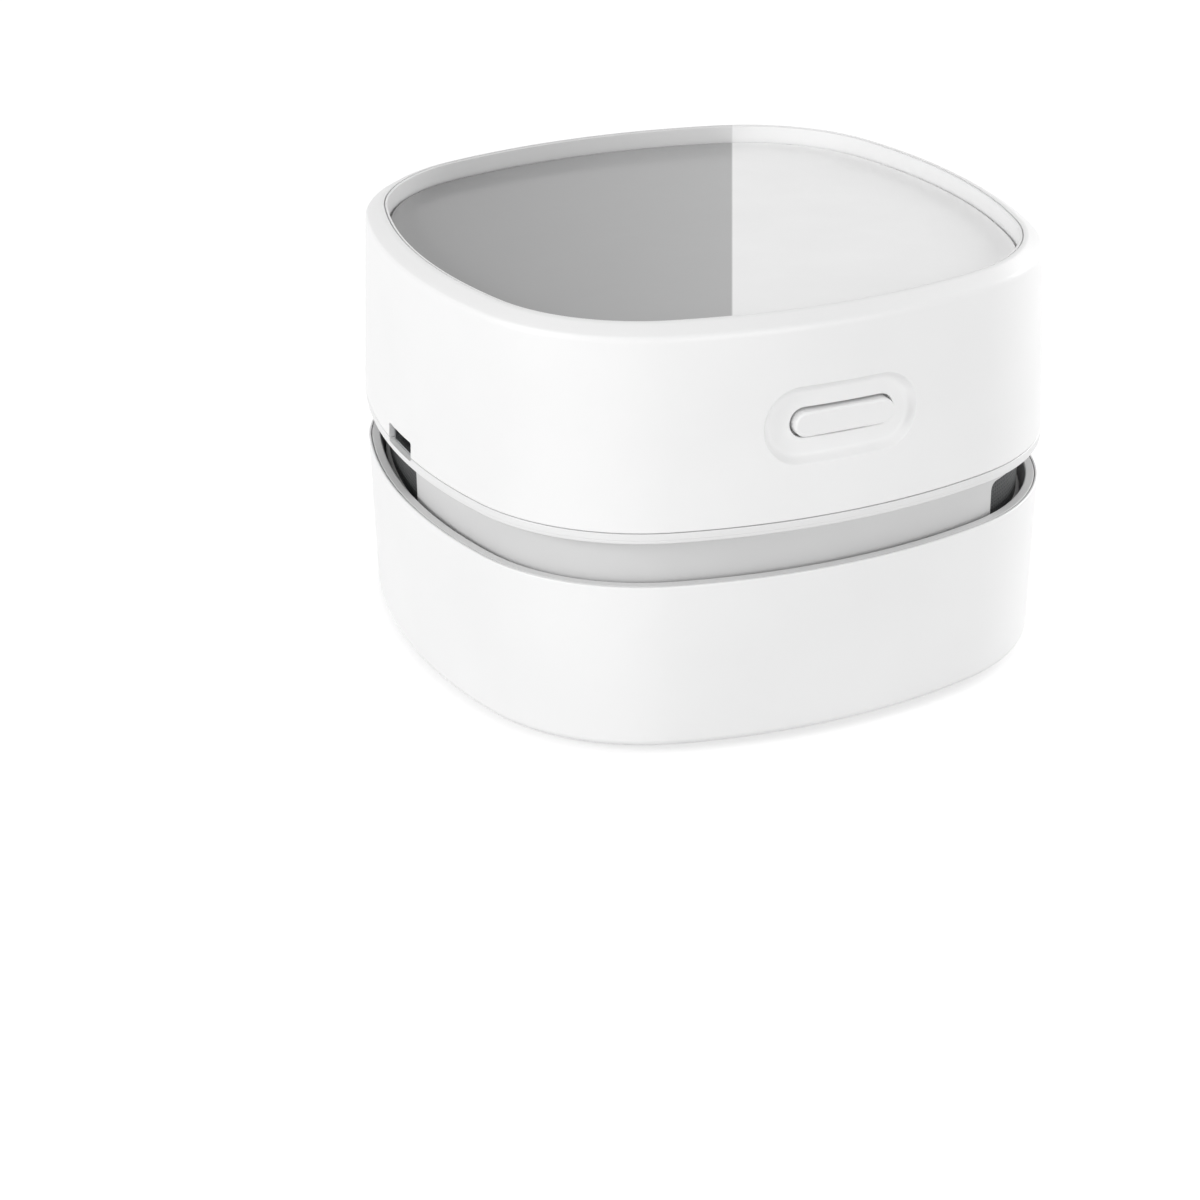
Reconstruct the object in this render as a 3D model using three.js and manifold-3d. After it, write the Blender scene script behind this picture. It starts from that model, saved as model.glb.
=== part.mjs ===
import * as THREE from 'three';
import { mergeVertices } from 'three/addons/utils/BufferGeometryUtils.js';
import Module from 'manifold-3d';

// A small desktop vacuum cleaner: a dust cup with a lift-off head above it.
// Millimetres, +Z up, origin on the desk under the middle, front (button) towards -Y.

const wasm = await Module();
wasm.setup();

// Plan outline: a rounded square whose sides bow outwards
const body_half_width = 42.5;
const side_arc_radius = 78.6;
const corner_arc_radius = 26.1;
const smallest_offset_half_width = 20.0;
const side_steps = 4;
const corner_steps = 7;

// Levels that stack upwards from the desk
const foot_proud = 1.0;
const cup_height = 22.3;
const air_gap = 5.7;
const ring_height = 1.4;
const seam_gap = 0.25;
const head_height = 25.25;

// Clearances
const fit_gap = 0.1;
const slide_gap = 0.3;
const overrun = 1.0;
const merge_distance = 1e-5;

// The middle point of a rounded edge, as a share of its radius
const round_share = 0.3;
const shoulder_share = 0.7;

// Outer cup
const cup_foot_inset = 0.4;
const cup_rim_inset = 0.1;
const cup_wall = 0.9;
const cup_floor = 1.6;
const cup_bottom_round = 1.2;
const cup_rim_edge = 0.15;

// Dust liner
const liner_lip_width = 1.2;
const liner_lip_height = 1.0;
const liner_wall = 0.8;
const liner_floor = 1.0;
const ledge_depth = 6.3;
const ledge_width = 3.1;
const hub_wall = 1.0;
const hub_rise = 2.6;
const chimney_wall = 1.2;

// Suction nozzle and its brush
const nozzle_radius = 20.0;
const nozzle_flange = 1.8;
const nozzle_flange_thickness = 1.0;
const mouth_taper = 2.5;
const mouth_brush_distance = 4.5;
const brush_inset = 4.0;
const brush_width = 2.6;
const groove_depth = 3.2;
const backing_thickness = 0.8;
const bristle_clearance = 0.2;
const bristle_inset = 0.25;
const brush_arc_share = 0.84;

// Deflector above the chimney
const deflector_gap = 2.6;
const deflector_filter_gap = 1.1;
const deflector_thickness = 1.0;
const deflector_leg_radius = 0.8;
const deflector_legs = 3;

// Feet
const foot_radius = 4.5;
const foot_pocket = 0.9;
const foot_edge_margin = 4.75;

// Seal between neck and liner
const seal_thickness = 1.1;
const seal_inner_margin = 0.3;

// Neck with its two exhaust windows
const neck_lip_gap = 0.65;
const neck_wall = 1.6;
const neck_groove_depth = 0.6;
const neck_lip_width = 1.5;
const neck_lip_height = 1.0;
const window_top_margin = 2.0;
const window_corner = 1.1;
const window_start_deg = -55.4;
const window_end_deg = -0.2;
const mesh_thickness = 0.5;
const mesh_margin = 0.8;
const mesh_floor_gap = 0.2;
const mesh_hole = 1.8;
const mesh_bar = 0.7;

// Chassis under the shell
const ring_round = 0.6;
const plate_thickness = 2.2;
const register_height = 2.0;
const register_wall = 1.2;
const collar_wall = 1.4;
const collar_height = 4.0;
const scroll_wall = 1.2;
const scroll_fan_gap = 2.6;
const scroll_start_deg = 12;
const scroll_end_deg = 118;
const scroll_end_gap = 1.5;
const scroll_nose_deg = 2.5;
const scroll_nose_gap = 1.7;

// Head shell
const shell_lean = 1.2;
const shell_wall = 1.8;
const shell_foot_edge = 0.2;
const deck_thickness = 1.3;
const rim_width = 3.0;
const recess_depth = 2.35;
const recess_edge = 0.25;
const crest_width = 0.9;
const shoulder_width = 0.7;
const crown_drop = 0.8;
const shoulder_drop = 1.6;
const panel_thickness = 1.5;
const panel_edge = 0.25;

// Button and its dish in the front wall
const button_drop = 13.6;
const button_length = 13.7;
const button_height = 3.42;
const button_gap = 0.36;
const button_inset = 0.25;
const button_flange = 0.8;
const button_flange_thickness = 0.8;
const button_flange_inset = 0.8;
const button_edge = 0.3;
const button_travel = 0.5;
const dish_end_margin = 3.35;
const dish_side_margin = 3.19;
const dish_depth = 0.55;
const dish_slope = 1.3;

// Switch behind the button
const switch_size = 6.0;
const switch_depth = 3.2;
const plunger_radius = 1.6;
const plunger_proud = 1.4;
const plunger_root = 0.6;
const switch_board_width = 22.0;
const switch_board_thickness = 1.0;
const switch_board_headroom = 2.5;
const switch_board_setback = 9.9;
const board_post_width = 3.0;
const board_post_depth = 4.0;
const board_post_height = 12.0;

// Charging socket
const port_width = 8.0;
const port_height = 2.6;
const port_offset = -0.5;
const port_drop = 0.4;
const socket_clearance = 0.1;
const socket_side_clearance = 0.25;
const socket_length = 5.2;
const socket_recess = 0.75;
const socket_sheet = 0.3;
const tongue_thickness = 0.7;
const tongue_block = 1.2;

// Main board
const board_thickness = 1.0;
const board_width = 25.0;
const board_wall_gap = 0.7;
const board_collar_gap = 0.7;
const chip_length = 5.0;
const chip_width = 4.0;
const chip_height = 1.5;

// Motor
const motor_radius = 12.2;
const motor_headroom = 2.2;
const motor_sheet = 0.9;
const bush_radius = 3.0;
const bush_length = 2.4;
const shaft_radius = 1.0;
const shaft_end_inset = 1.3;
const end_cap_thickness = 1.6;
const end_cap_boss_radius = 3.0;
const end_cap_boss_height = 1.2;
const armature_gap = 0.6;
const armature_end_gap = 1.25;
const armature_slot = 1.6;
const armature_slots = 5;
const commutator_radius = 2.6;
const commutator_height = 2.0;
const magnet_thickness = 1.0;
const magnet_end_gap = 1.1;
const magnet_arc_deg = 125;
const terminal_width = 2.0;
const terminal_thickness = 0.5;
const terminal_height = 2.6;
const terminal_inset = 5.2;

// Impeller
const impeller_radius = 22.0;
const impeller_plate = 1.0;
const impeller_hub_radius = 4.0;
const impeller_eye_radius = 9.0;
const blade_count = 9;
const blade_thickness = 1.0;
const blade_sweep_deg = 48;
const impeller_floor_gap = 0.9;
const impeller_roof_gap = 1.3;

// Fan cover and filter
const cover_thickness = 1.2;
const cover_eye_radius = 13.0;
const cover_ring_radii_shares = [0.3, 0.64];
const cover_ring_width = 1.1;
const cover_spoke_width = 1.3;
const cover_spokes = 6;
const cover_post_radius = 2.6;
const cover_post_gap = 2.9;
const cover_post_deg = 30;
const frame_height = 4.5;
const frame_wall = 3.0;
const frame_lip_width = 1.5;
const frame_lip_height = 0.8;
const frame_rib_width = 1.6;
const medium_height = 2.4;
const pleat_pitch = 3.2;
const pleat_depth = 1.5;

// Screws
const screw_radius = 0.8;
const screw_head_radius = 1.8;
const screw_head_height = 0.9;
const screw_clearance_radius = 1.1;
const head_pocket_radius = 2.1;
const boss_radius = 2.8;
const boss_wall_gap = 2.25;
const boss_screw_length = 8.0;
const motor_screw_inset = 4.2;
const cover_screw_length = 6.0;

// Battery pack and its cradle, between the motor's collar and the back wall
const cell_round = 1.2;
const cell_headroom = 4.4;
const cell_tab_width = 4.0;
const cell_tab_inset = 4.0;
const cell_tab_height = 0.6;
const cradle_wall = 1.4;
const cradle_height = 6.5;
const cradle_boss_gap = 1.4;
const cradle_collar_gap = 1.9;
const cradle_wall_gap = 2.9;

// Levels worked out from the sizes above
const cup_bottom = foot_proud;
const cup_inside = cup_bottom + cup_floor;
const cup_top = cup_bottom + cup_height;
const ledge_level = cup_top - ledge_depth;
const neck_bottom = ledge_level + seal_thickness + fit_gap;
const plate_bottom = cup_top + air_gap;
const ring_top = plate_bottom + ring_height;
const plate_top = plate_bottom + plate_thickness;
const shell_bottom = ring_top + seam_gap;
const crest_level = shell_bottom + head_height;
const panel_top = crest_level - recess_depth;
const deck_top = panel_top - panel_thickness;
const deck_bottom = deck_top - deck_thickness;
const port_bottom = ring_top - port_drop;
const neck_top = plate_bottom + neck_groove_depth;
const cover_bottom = neck_bottom + neck_lip_height;
const cover_top = cover_bottom + cover_thickness;
const window_top = plate_bottom - window_top_margin;
const window_bottom = cover_top + mesh_floor_gap + mesh_margin;
const hub_floor = cup_inside + hub_rise;
const frame_bottom = cover_bottom - frame_height;
const deflector_top = frame_bottom - deflector_filter_gap;
const deflector_bottom = deflector_top - deflector_thickness;
const chimney_top = deflector_bottom - deflector_gap;
const button_level = crest_level - button_drop;
const motor_top = deck_bottom - motor_headroom - terminal_height;
const impeller_bottom = cover_top + impeller_floor_gap;
const impeller_top = plate_bottom - impeller_roof_gap;

// Half widths and radii worked out from the sizes above
const cup_bottom_half_width = body_half_width - cup_foot_inset;
const cup_top_half_width = body_half_width - cup_rim_inset;
const lip_outer = cup_top_half_width - cup_wall / 2;
const lip_inner = lip_outer - liner_lip_width;
const neck_half_width = lip_inner - neck_lip_gap;
const neck_inner = neck_half_width - neck_wall;
const shell_top_half_width = body_half_width - shell_lean;
const recess_half_width = shell_top_half_width - rim_width;
const crest_outer_half_width = recess_half_width + crest_width;
const crown_half_width = shell_top_half_width - shoulder_width;
const brush_radius = nozzle_radius - brush_inset;
const nozzle_mouth_radius = brush_radius - mouth_brush_distance;
const chimney_radius = nozzle_mouth_radius - mouth_taper;
const collar_inner = motor_radius + fit_gap;
const collar_outer = collar_inner + collar_wall;
const dish_length = button_length + 2 * dish_end_margin;
const dish_height = button_height + 2 * dish_side_margin;

// Outline of the rounded square

const side_centre = side_arc_radius - body_half_width;
const arc_gap = side_arc_radius - corner_arc_radius;
const corner_centre = (-side_centre + Math.sqrt(2 * arc_gap ** 2 - side_centre ** 2)) / 2;
const junction = Math.atan2(corner_centre, corner_centre + side_centre);
const corner_reach = corner_centre * Math.SQRT2 + corner_arc_radius;
const quarter_steps = side_steps + corner_steps;
const outline_steps = 4 * quarter_steps;

// One sample of the outline at a given half width; the samples of all half widths share their normals
function outlinePoint(index, half_width) {
  if (half_width < smallest_offset_half_width) {
    const base = outlinePoint(index, smallest_offset_half_width);
    return base.multiplyScalar(half_width / smallest_offset_half_width);
  }
  const step = ((index % outline_steps) + outline_steps) % outline_steps;
  const quarter = Math.floor((step + side_steps / 2) / quarter_steps);
  const local = step - quarter * quarter_steps;
  const growth = half_width - body_half_width;
  const point = new THREE.Vector2();
  if (local <= side_steps / 2) {
    const angle = (junction * local) / (side_steps / 2);
    const reach = side_arc_radius + growth;
    point.set(-side_centre + reach * Math.cos(angle), reach * Math.sin(angle));
  } else {
    const share = (local - side_steps / 2) / corner_steps;
    const angle = junction + (Math.PI / 2 - 2 * junction) * share;
    const reach = corner_arc_radius + growth;
    point.set(corner_centre + reach * Math.cos(angle), corner_centre + reach * Math.sin(angle));
  }
  return point.rotateAround(new THREE.Vector2(0, 0), (quarter * Math.PI) / 2);
}

// Solids

function solidOf(geometry) {
  const bare = geometry.index ? geometry.toNonIndexed() : geometry.clone();
  bare.deleteAttribute('normal');
  bare.deleteAttribute('uv');
  const merged = mergeVertices(bare, merge_distance);
  const place = merged.getAttribute('position');
  const index = merged.getIndex();
  const corners = [];
  let volume = 0;
  const a = new THREE.Vector3();
  const b = new THREE.Vector3();
  const c = new THREE.Vector3();
  for (let i = 0; i < index.count; i += 3) {
    const [p, q, r] = [index.getX(i), index.getX(i + 1), index.getX(i + 2)];
    if (p === q || q === r || r === p) continue;
    a.fromBufferAttribute(place, p);
    b.fromBufferAttribute(place, q);
    c.fromBufferAttribute(place, r);
    volume += a.dot(b.cross(c));
    corners.push(p, q, r);
  }
  if (volume < 0) {
    for (let i = 0; i < corners.length; i += 3) {
      [corners[i + 1], corners[i + 2]] = [corners[i + 2], corners[i + 1]];
    }
  }
  const triVerts = new Uint32Array(corners);
  const vertProperties = new Float32Array(place.array);
  return new wasm.Manifold(new wasm.Mesh({ numProp: 3, vertProperties, triVerts }));
}

function geometryOf(solid) {
  const mesh = solid.getMesh();
  const geometry = new THREE.BufferGeometry();
  const positions = new Float32Array(mesh.numVert * 3);
  for (let i = 0; i < mesh.numVert; i += 1) {
    for (let j = 0; j < 3; j += 1) {
      positions[3 * i + j] = mesh.vertProperties[mesh.numProp * i + j];
    }
  }
  geometry.setAttribute('position', new THREE.BufferAttribute(positions, 3));
  geometry.setIndex(new THREE.BufferAttribute(new Uint32Array(mesh.triVerts), 1));
  geometry.computeVertexNormals();
  return geometry;
}

// A profile of [half width, height] pairs carried round the rounded square
function squareTurn(profile) {
  const lathe = new THREE.LatheGeometry(closed(profile), outline_steps);
  const place = lathe.getAttribute('position');
  for (let i = 0; i < place.count; i += 1) {
    const x = place.getX(i);
    const z = place.getZ(i);
    const half_width = Math.hypot(x, z);
    const step = Math.round((Math.atan2(x, z) / (2 * Math.PI)) * outline_steps);
    const point = outlinePoint(step, half_width);
    place.setXYZ(i, point.x, point.y, place.getY(i));
  }
  return solidOf(lathe);
}

// A profile of [radius, height] pairs turned round the Z axis
function turn(profile, segments = 28) {
  const lathe = new THREE.LatheGeometry(closed(profile), segments);
  lathe.rotateX(Math.PI / 2);
  return solidOf(lathe);
}

function closed(profile) {
  const points = profile.map(([r, z]) => new THREE.Vector2(r, z));
  const first = points[0];
  const last = points[points.length - 1];
  if (first.x > 0 || last.x > 0) points.push(first.clone());
  return points;
}

function box(x0, x1, y0, y1, z0, z1) {
  const geometry = new THREE.BoxGeometry(x1 - x0, y1 - y0, z1 - z0);
  geometry.translate((x0 + x1) / 2, (y0 + y1) / 2, (z0 + z1) / 2);
  return solidOf(geometry);
}

function rod(radius, z0, z1, x = 0, y = 0, segments = 12) {
  const geometry = new THREE.CylinderGeometry(radius, radius, z1 - z0, segments);
  geometry.rotateX(Math.PI / 2);
  geometry.translate(x, y, (z0 + z1) / 2);
  return solidOf(geometry);
}

function rodAlongY(radius, y0, y1, x, z, segments = 12) {
  const geometry = new THREE.CylinderGeometry(radius, radius, y1 - y0, segments);
  geometry.translate(x, (y0 + y1) / 2, z);
  return solidOf(geometry);
}

function prism(points, z0, z1) {
  const shape = new THREE.Shape(points.map(([x, y]) => new THREE.Vector2(x, y)));
  const geometry = new THREE.ExtrudeGeometry(shape, { depth: z1 - z0, bevelEnabled: false });
  geometry.translate(0, 0, z0);
  return solidOf(geometry);
}

function join(first, ...others) {
  return others.reduce((sum, next) => sum.add(next), first);
}

function cut(first, ...others) {
  return others.reduce((rest, next) => rest.subtract(next), first);
}

function polar(radius, degrees) {
  const angle = (degrees * Math.PI) / 180;
  return [radius * Math.cos(angle), radius * Math.sin(angle)];
}

// The outline as a slot shape with straight sides split into steps
function slotPoints(length, height, side_splits = 4, end_steps = 8) {
  const radius = height / 2;
  const reach = length / 2 - radius;
  const points = [];
  for (let i = 0; i <= end_steps; i += 1) {
    const angle = -Math.PI / 2 + (Math.PI * i) / end_steps;
    points.push([reach + radius * Math.cos(angle), radius * Math.sin(angle)]);
  }
  for (let i = 1; i < side_splits; i += 1) {
    points.push([reach - (2 * reach * i) / side_splits, radius]);
  }
  for (let i = 0; i <= end_steps; i += 1) {
    const angle = Math.PI / 2 + (Math.PI * i) / end_steps;
    points.push([-reach + radius * Math.cos(angle), radius * Math.sin(angle)]);
  }
  for (let i = 1; i < side_splits; i += 1) {
    points.push([-reach + (2 * reach * i) / side_splits, -radius]);
  }
  return points;
}

// Half width of the head's outer wall at a level
function shellHalfWidth(level) {
  const share = (level - shell_bottom) / (crest_level - shoulder_drop - shell_bottom);
  return body_half_width + (shell_top_half_width - body_half_width) * share;
}

// How far a side of the outline at a given half width lies from the axis, at a place along the side
function sideReach(half_width, along) {
  const reach = side_arc_radius + half_width - body_half_width;
  return Math.sqrt(reach ** 2 - along ** 2) - side_centre;
}

// The front wall's y at a point of the wall
function frontWall(x, level) {
  return -sideReach(shellHalfWidth(level), x);
}

// A slot-shaped block with one bevelled end, bent to lie along the front wall
function wallSlot(length, height, from_wall, to_wall, slope, slope_depth) {
  const bevelled = slope > 0;
  const flat_length = bevelled ? length - 2 * slope : length;
  const flat_height = bevelled ? height - 2 * slope : height;
  const shape = new THREE.Shape(
    slotPoints(flat_length, flat_height).map(([x, y]) => new THREE.Vector2(x, y)),
  );
  const geometry = new THREE.ExtrudeGeometry(shape, {
    depth: to_wall - from_wall,
    bevelEnabled: bevelled,
    bevelThickness: slope_depth,
    bevelSize: slope,
    bevelSegments: 2,
  });
  const place = geometry.getAttribute('position');
  for (let i = 0; i < place.count; i += 1) {
    const x = place.getX(i);
    const level = button_level + place.getY(i);
    const depth = to_wall - place.getZ(i);
    place.setXYZ(i, x, frontWall(x, level) + depth, level);
  }
  return solidOf(geometry);
}

// Materials

function look(color, roughness, metalness = 0) {
  return new THREE.MeshStandardMaterial({ color, roughness, metalness });
}

const white_plastic = look(0xf2f2f2, 0.42);
const ring_plastic = look(0xececec, 0.4);
const grey_plastic = look(0xc4c6c6, 0.5);
const grey_gloss = look(0xa9a9a9, 0.14);
const button_white = look(0xf4f4f4, 0.35);
const dark_mesh = look(0x252829, 0.75);
const black_rubber = look(0x2a2b2c, 0.85);
const bristle_grey = look(0x55585a, 0.8);
const clear_grey_seal = look(0xb9bcbc, 0.7);
const filter_paper = look(0xeeeee8, 0.95);
const steel = look(0xb8bbbe, 0.35, 0.9);
const brass = look(0xc7a35a, 0.35, 0.9);
const copper_iron = look(0x8a5a3c, 0.5, 0.7);
const ferrite = look(0x3a3a3c, 0.8);
const cell_wrap = look(0x3f6fb5, 0.4);
const board_green = look(0x1f5a3a, 0.6);
const black_plastic = look(0x18191a, 0.5);
const fan_white = look(0xe6e7e8, 0.5);

const vacuum = new THREE.Group();
const cup_group = new THREE.Group();
const head_group = new THREE.Group();
const button_group = new THREE.Group();
const rotor_group = new THREE.Group();
vacuum.add(cup_group, head_group);
head_group.add(button_group, rotor_group);

function piece(group, name, solid, material) {
  const mesh = new THREE.Mesh(geometryOf(solid), material);
  mesh.name = name;
  group.add(mesh);
}

const corner_signs = [
  ['front_left', -1, -1],
  ['front_right', 1, -1],
  ['back_left', -1, 1],
  ['back_right', 1, 1],
];

// Outer cup with its open floor, foot pockets and a step for the liner's lip

const cup_inner = cup_top_half_width - cup_wall;
const lip_seat = cup_top - liner_lip_height;
const foot_distance = corner_reach - cup_foot_inset - foot_edge_margin - foot_radius;

let outer_cup = squareTurn([
  [0, cup_bottom],
  [cup_bottom_half_width - cup_bottom_round, cup_bottom],
  [cup_bottom_half_width - round_share * cup_bottom_round, cup_bottom + round_share * cup_bottom_round],
  [cup_bottom_half_width, cup_bottom + cup_bottom_round],
  [cup_top_half_width, cup_top - cup_rim_edge],
  [cup_top_half_width - cup_rim_edge, cup_top],
  [lip_outer + fit_gap, cup_top],
  [lip_outer + fit_gap, lip_seat],
  [cup_inner, lip_seat],
  [cup_inner, cup_inside],
  [0, cup_inside],
]);
outer_cup = cut(
  outer_cup,
  rod(nozzle_radius + fit_gap, cup_bottom - overrun, cup_inside + overrun, 0, 0, 36),
);
for (const [, sx, sy] of corner_signs) {
  const x = (sx * foot_distance) / Math.SQRT2;
  const y = (sy * foot_distance) / Math.SQRT2;
  outer_cup = cut(outer_cup, rod(foot_radius + fit_gap, -overrun, cup_bottom + foot_pocket, x, y));
}
piece(cup_group, 'outer_cup', outer_cup, white_plastic);

for (const [place, sx, sy] of corner_signs) {
  const x = (sx * foot_distance) / Math.SQRT2;
  const y = (sy * foot_distance) / Math.SQRT2;
  piece(cup_group, `foot_${place}`, rod(foot_radius, 0, cup_bottom + foot_pocket, x, y), black_rubber);
}

// Dust liner: wall, ledge for the seal and a floor round the inlet hub

const liner_outer = cup_inner - fit_gap;
const room_half_width = lip_inner - ledge_width;
const hub_radius = nozzle_radius + nozzle_flange + slide_gap;

let dust_liner = squareTurn([
  [0, cup_inside],
  [room_half_width + liner_wall, cup_inside],
  [room_half_width + liner_wall, ledge_level - liner_wall],
  [liner_outer, ledge_level - liner_wall],
  [liner_outer, lip_seat],
  [lip_outer, lip_seat],
  [lip_outer, cup_top],
  [lip_inner, cup_top],
  [lip_inner, ledge_level],
  [room_half_width, ledge_level],
  [room_half_width, cup_inside + liner_floor],
  [0, cup_inside + liner_floor],
]);
const hub_outer = hub_radius + hub_wall;
dust_liner = cut(
  dust_liner,
  rod(hub_outer + fit_gap, cup_inside - overrun, cup_inside + liner_floor + overrun, 0, 0, 36),
);
piece(cup_group, 'dust_liner', dust_liner, grey_plastic);

// Inlet hub over the nozzle, with the chimney that the dust comes up through

const inlet_hub = turn(
  [
    [chimney_radius, hub_floor],
    [hub_radius, hub_floor],
    [hub_radius, cup_inside],
    [hub_outer, cup_inside],
    [hub_outer, hub_floor + liner_floor],
    [chimney_radius + chimney_wall, hub_floor + liner_floor],
    [chimney_radius + chimney_wall, chimney_top],
    [chimney_radius, chimney_top],
  ],
  36,
);
piece(cup_group, 'inlet_hub', inlet_hub, grey_plastic);

// Deflector cap on three legs above the chimney

let deflector = rod(chimney_radius + chimney_wall, deflector_bottom, deflector_top, 0, 0, 28);
for (let i = 0; i < deflector_legs; i += 1) {
  const [x, y] = polar(chimney_radius + chimney_wall / 2, (360 * i) / deflector_legs + 90);
  const leg_side = deflector_leg_radius * 0.7;
  const leg = box(
    x - leg_side,
    x + leg_side,
    y - leg_side,
    y + leg_side,
    chimney_top,
    deflector_bottom + deflector_thickness / 2,
  );
  deflector = join(deflector, leg);
}
piece(cup_group, 'inlet_deflector', deflector, grey_plastic);

// Nozzle holder: a flanged ring with a groove for the brush

const groove_inner = brush_radius - brush_width / 2 - fit_gap;
const groove_outer = brush_radius + brush_width / 2 + fit_gap;
const groove_top = cup_bottom + groove_depth;

const nozzle_holder = turn(
  [
    [nozzle_mouth_radius, cup_bottom],
    [groove_inner, cup_bottom],
    [groove_inner, groove_top],
    [groove_outer, groove_top],
    [groove_outer, cup_bottom],
    [nozzle_radius, cup_bottom],
    [nozzle_radius, cup_inside],
    [nozzle_radius + nozzle_flange, cup_inside],
    [nozzle_radius + nozzle_flange, cup_inside + nozzle_flange_thickness],
    [nozzle_radius, cup_inside + nozzle_flange_thickness],
    [nozzle_radius, hub_floor],
    [chimney_radius, hub_floor],
    [chimney_radius, hub_floor - nozzle_flange_thickness],
  ],
  28,
);
piece(cup_group, 'nozzle_holder', nozzle_holder, grey_plastic);

// Four brush strips: a backing in the groove with a narrower bristle block below it

const backing_bottom = groove_top - backing_thickness;

function arcBlock(inner, outer, middle_deg, half_arc_deg, z0, z1) {
  const points = [];
  const arc_steps = 8;
  for (let i = 0; i <= arc_steps; i += 1) {
    points.push(polar(outer, middle_deg - half_arc_deg + (2 * half_arc_deg * i) / arc_steps));
  }
  for (let i = arc_steps; i >= 0; i -= 1) {
    points.push(polar(inner, middle_deg - half_arc_deg + (2 * half_arc_deg * i) / arc_steps));
  }
  return prism(points, z0, z1);
}

function brushStrip(middle_deg) {
  const low = brush_radius - brush_width / 2;
  const high = brush_radius + brush_width / 2;
  const half_arc_deg = (90 * brush_arc_share) / 2;
  const block_arc_deg = half_arc_deg - (bristle_inset / brush_radius) * (180 / Math.PI);
  return join(
    arcBlock(low, high, middle_deg, half_arc_deg, backing_bottom, groove_top),
    arcBlock(
      low + bristle_inset,
      high - bristle_inset,
      middle_deg,
      block_arc_deg,
      bristle_clearance,
      backing_bottom + backing_thickness / 2,
    ),
  );
}

piece(cup_group, 'brush_front', brushStrip(-90), bristle_grey);
piece(cup_group, 'brush_right', brushStrip(0), bristle_grey);
piece(cup_group, 'brush_back', brushStrip(90), bristle_grey);
piece(cup_group, 'brush_left', brushStrip(180), bristle_grey);

// Seal ring on the liner's ledge

const seal_ring = squareTurn([
  [room_half_width + seal_inner_margin, ledge_level],
  [lip_inner - slide_gap, ledge_level],
  [lip_inner - slide_gap, ledge_level + seal_thickness],
  [room_half_width + seal_inner_margin, ledge_level + seal_thickness],
]);
piece(cup_group, 'seal_ring', seal_ring, clear_grey_seal);

// Neck: the grey tube in the air gap, with two windows half a turn apart

function outlineIndexAt(degrees) {
  const wanted = ((degrees % 360) + 360) % 360;
  let best = 0;
  for (let i = 0; i < outline_steps; i += 1) {
    const from = outlinePoint(i, neck_half_width);
    const to = outlinePoint(i + 1, neck_half_width);
    const start = ((from.angle() * 180) / Math.PI + 360) % 360;
    let end = ((to.angle() * 180) / Math.PI + 360) % 360;
    if (end < start) end += 360;
    const target = wanted < start ? wanted + 360 : wanted;
    if (target >= start && target <= end) best = i + (target - start) / (end - start);
  }
  return best;
}

// A curved band between two half widths that follows the outline between two angles
function band(inner, outer, start_deg, end_deg, z0, z1) {
  const start = outlineIndexAt(start_deg);
  let end = outlineIndexAt(end_deg);
  if (end <= start) end += outline_steps;
  const marks = [start];
  for (let i = Math.ceil(start + 0.05); i < end - 0.05; i += 1) marks.push(i);
  marks.push(end);
  const at = (mark, half_width) => {
    const low = Math.floor(mark);
    const from = outlinePoint(low, half_width);
    const to = outlinePoint(low + 1, half_width);
    return from.lerp(to, mark - low);
  };
  const points = marks.map((mark) => at(mark, outer).toArray());
  for (const mark of [...marks].reverse()) points.push(at(mark, inner).toArray());
  return prism(points, z0, z1);
}

let neck = squareTurn([
  [neck_inner, cover_bottom],
  [neck_inner - neck_lip_width, cover_bottom],
  [neck_inner - neck_lip_width, neck_bottom],
  [neck_half_width, neck_bottom],
  [neck_half_width, neck_top],
  [neck_inner, neck_top],
]);
const half_turn = 180;
const corner_deg = (window_corner / neck_half_width) * (half_turn / Math.PI);
for (const spin of [0, half_turn]) {
  const start = window_start_deg + spin;
  const end = window_end_deg + spin;
  const low = neck_inner - overrun;
  const high = neck_half_width + overrun;
  const upright = band(low, high, start, end, window_bottom + window_corner, window_top - window_corner);
  const middle = band(low, high, start + corner_deg, end - corner_deg, window_bottom, window_top);
  const slant_share = 0.3;
  const slant = window_corner * slant_share;
  const step_in = corner_deg * slant_share;
  const softened = band(low, high, start + step_in, end - step_in, window_bottom + slant, window_top - slant);
  neck = cut(neck, join(upright, middle, softened));
}
piece(head_group, 'neck', neck, grey_plastic);

// Exhaust meshes behind the windows, with square holes

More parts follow.
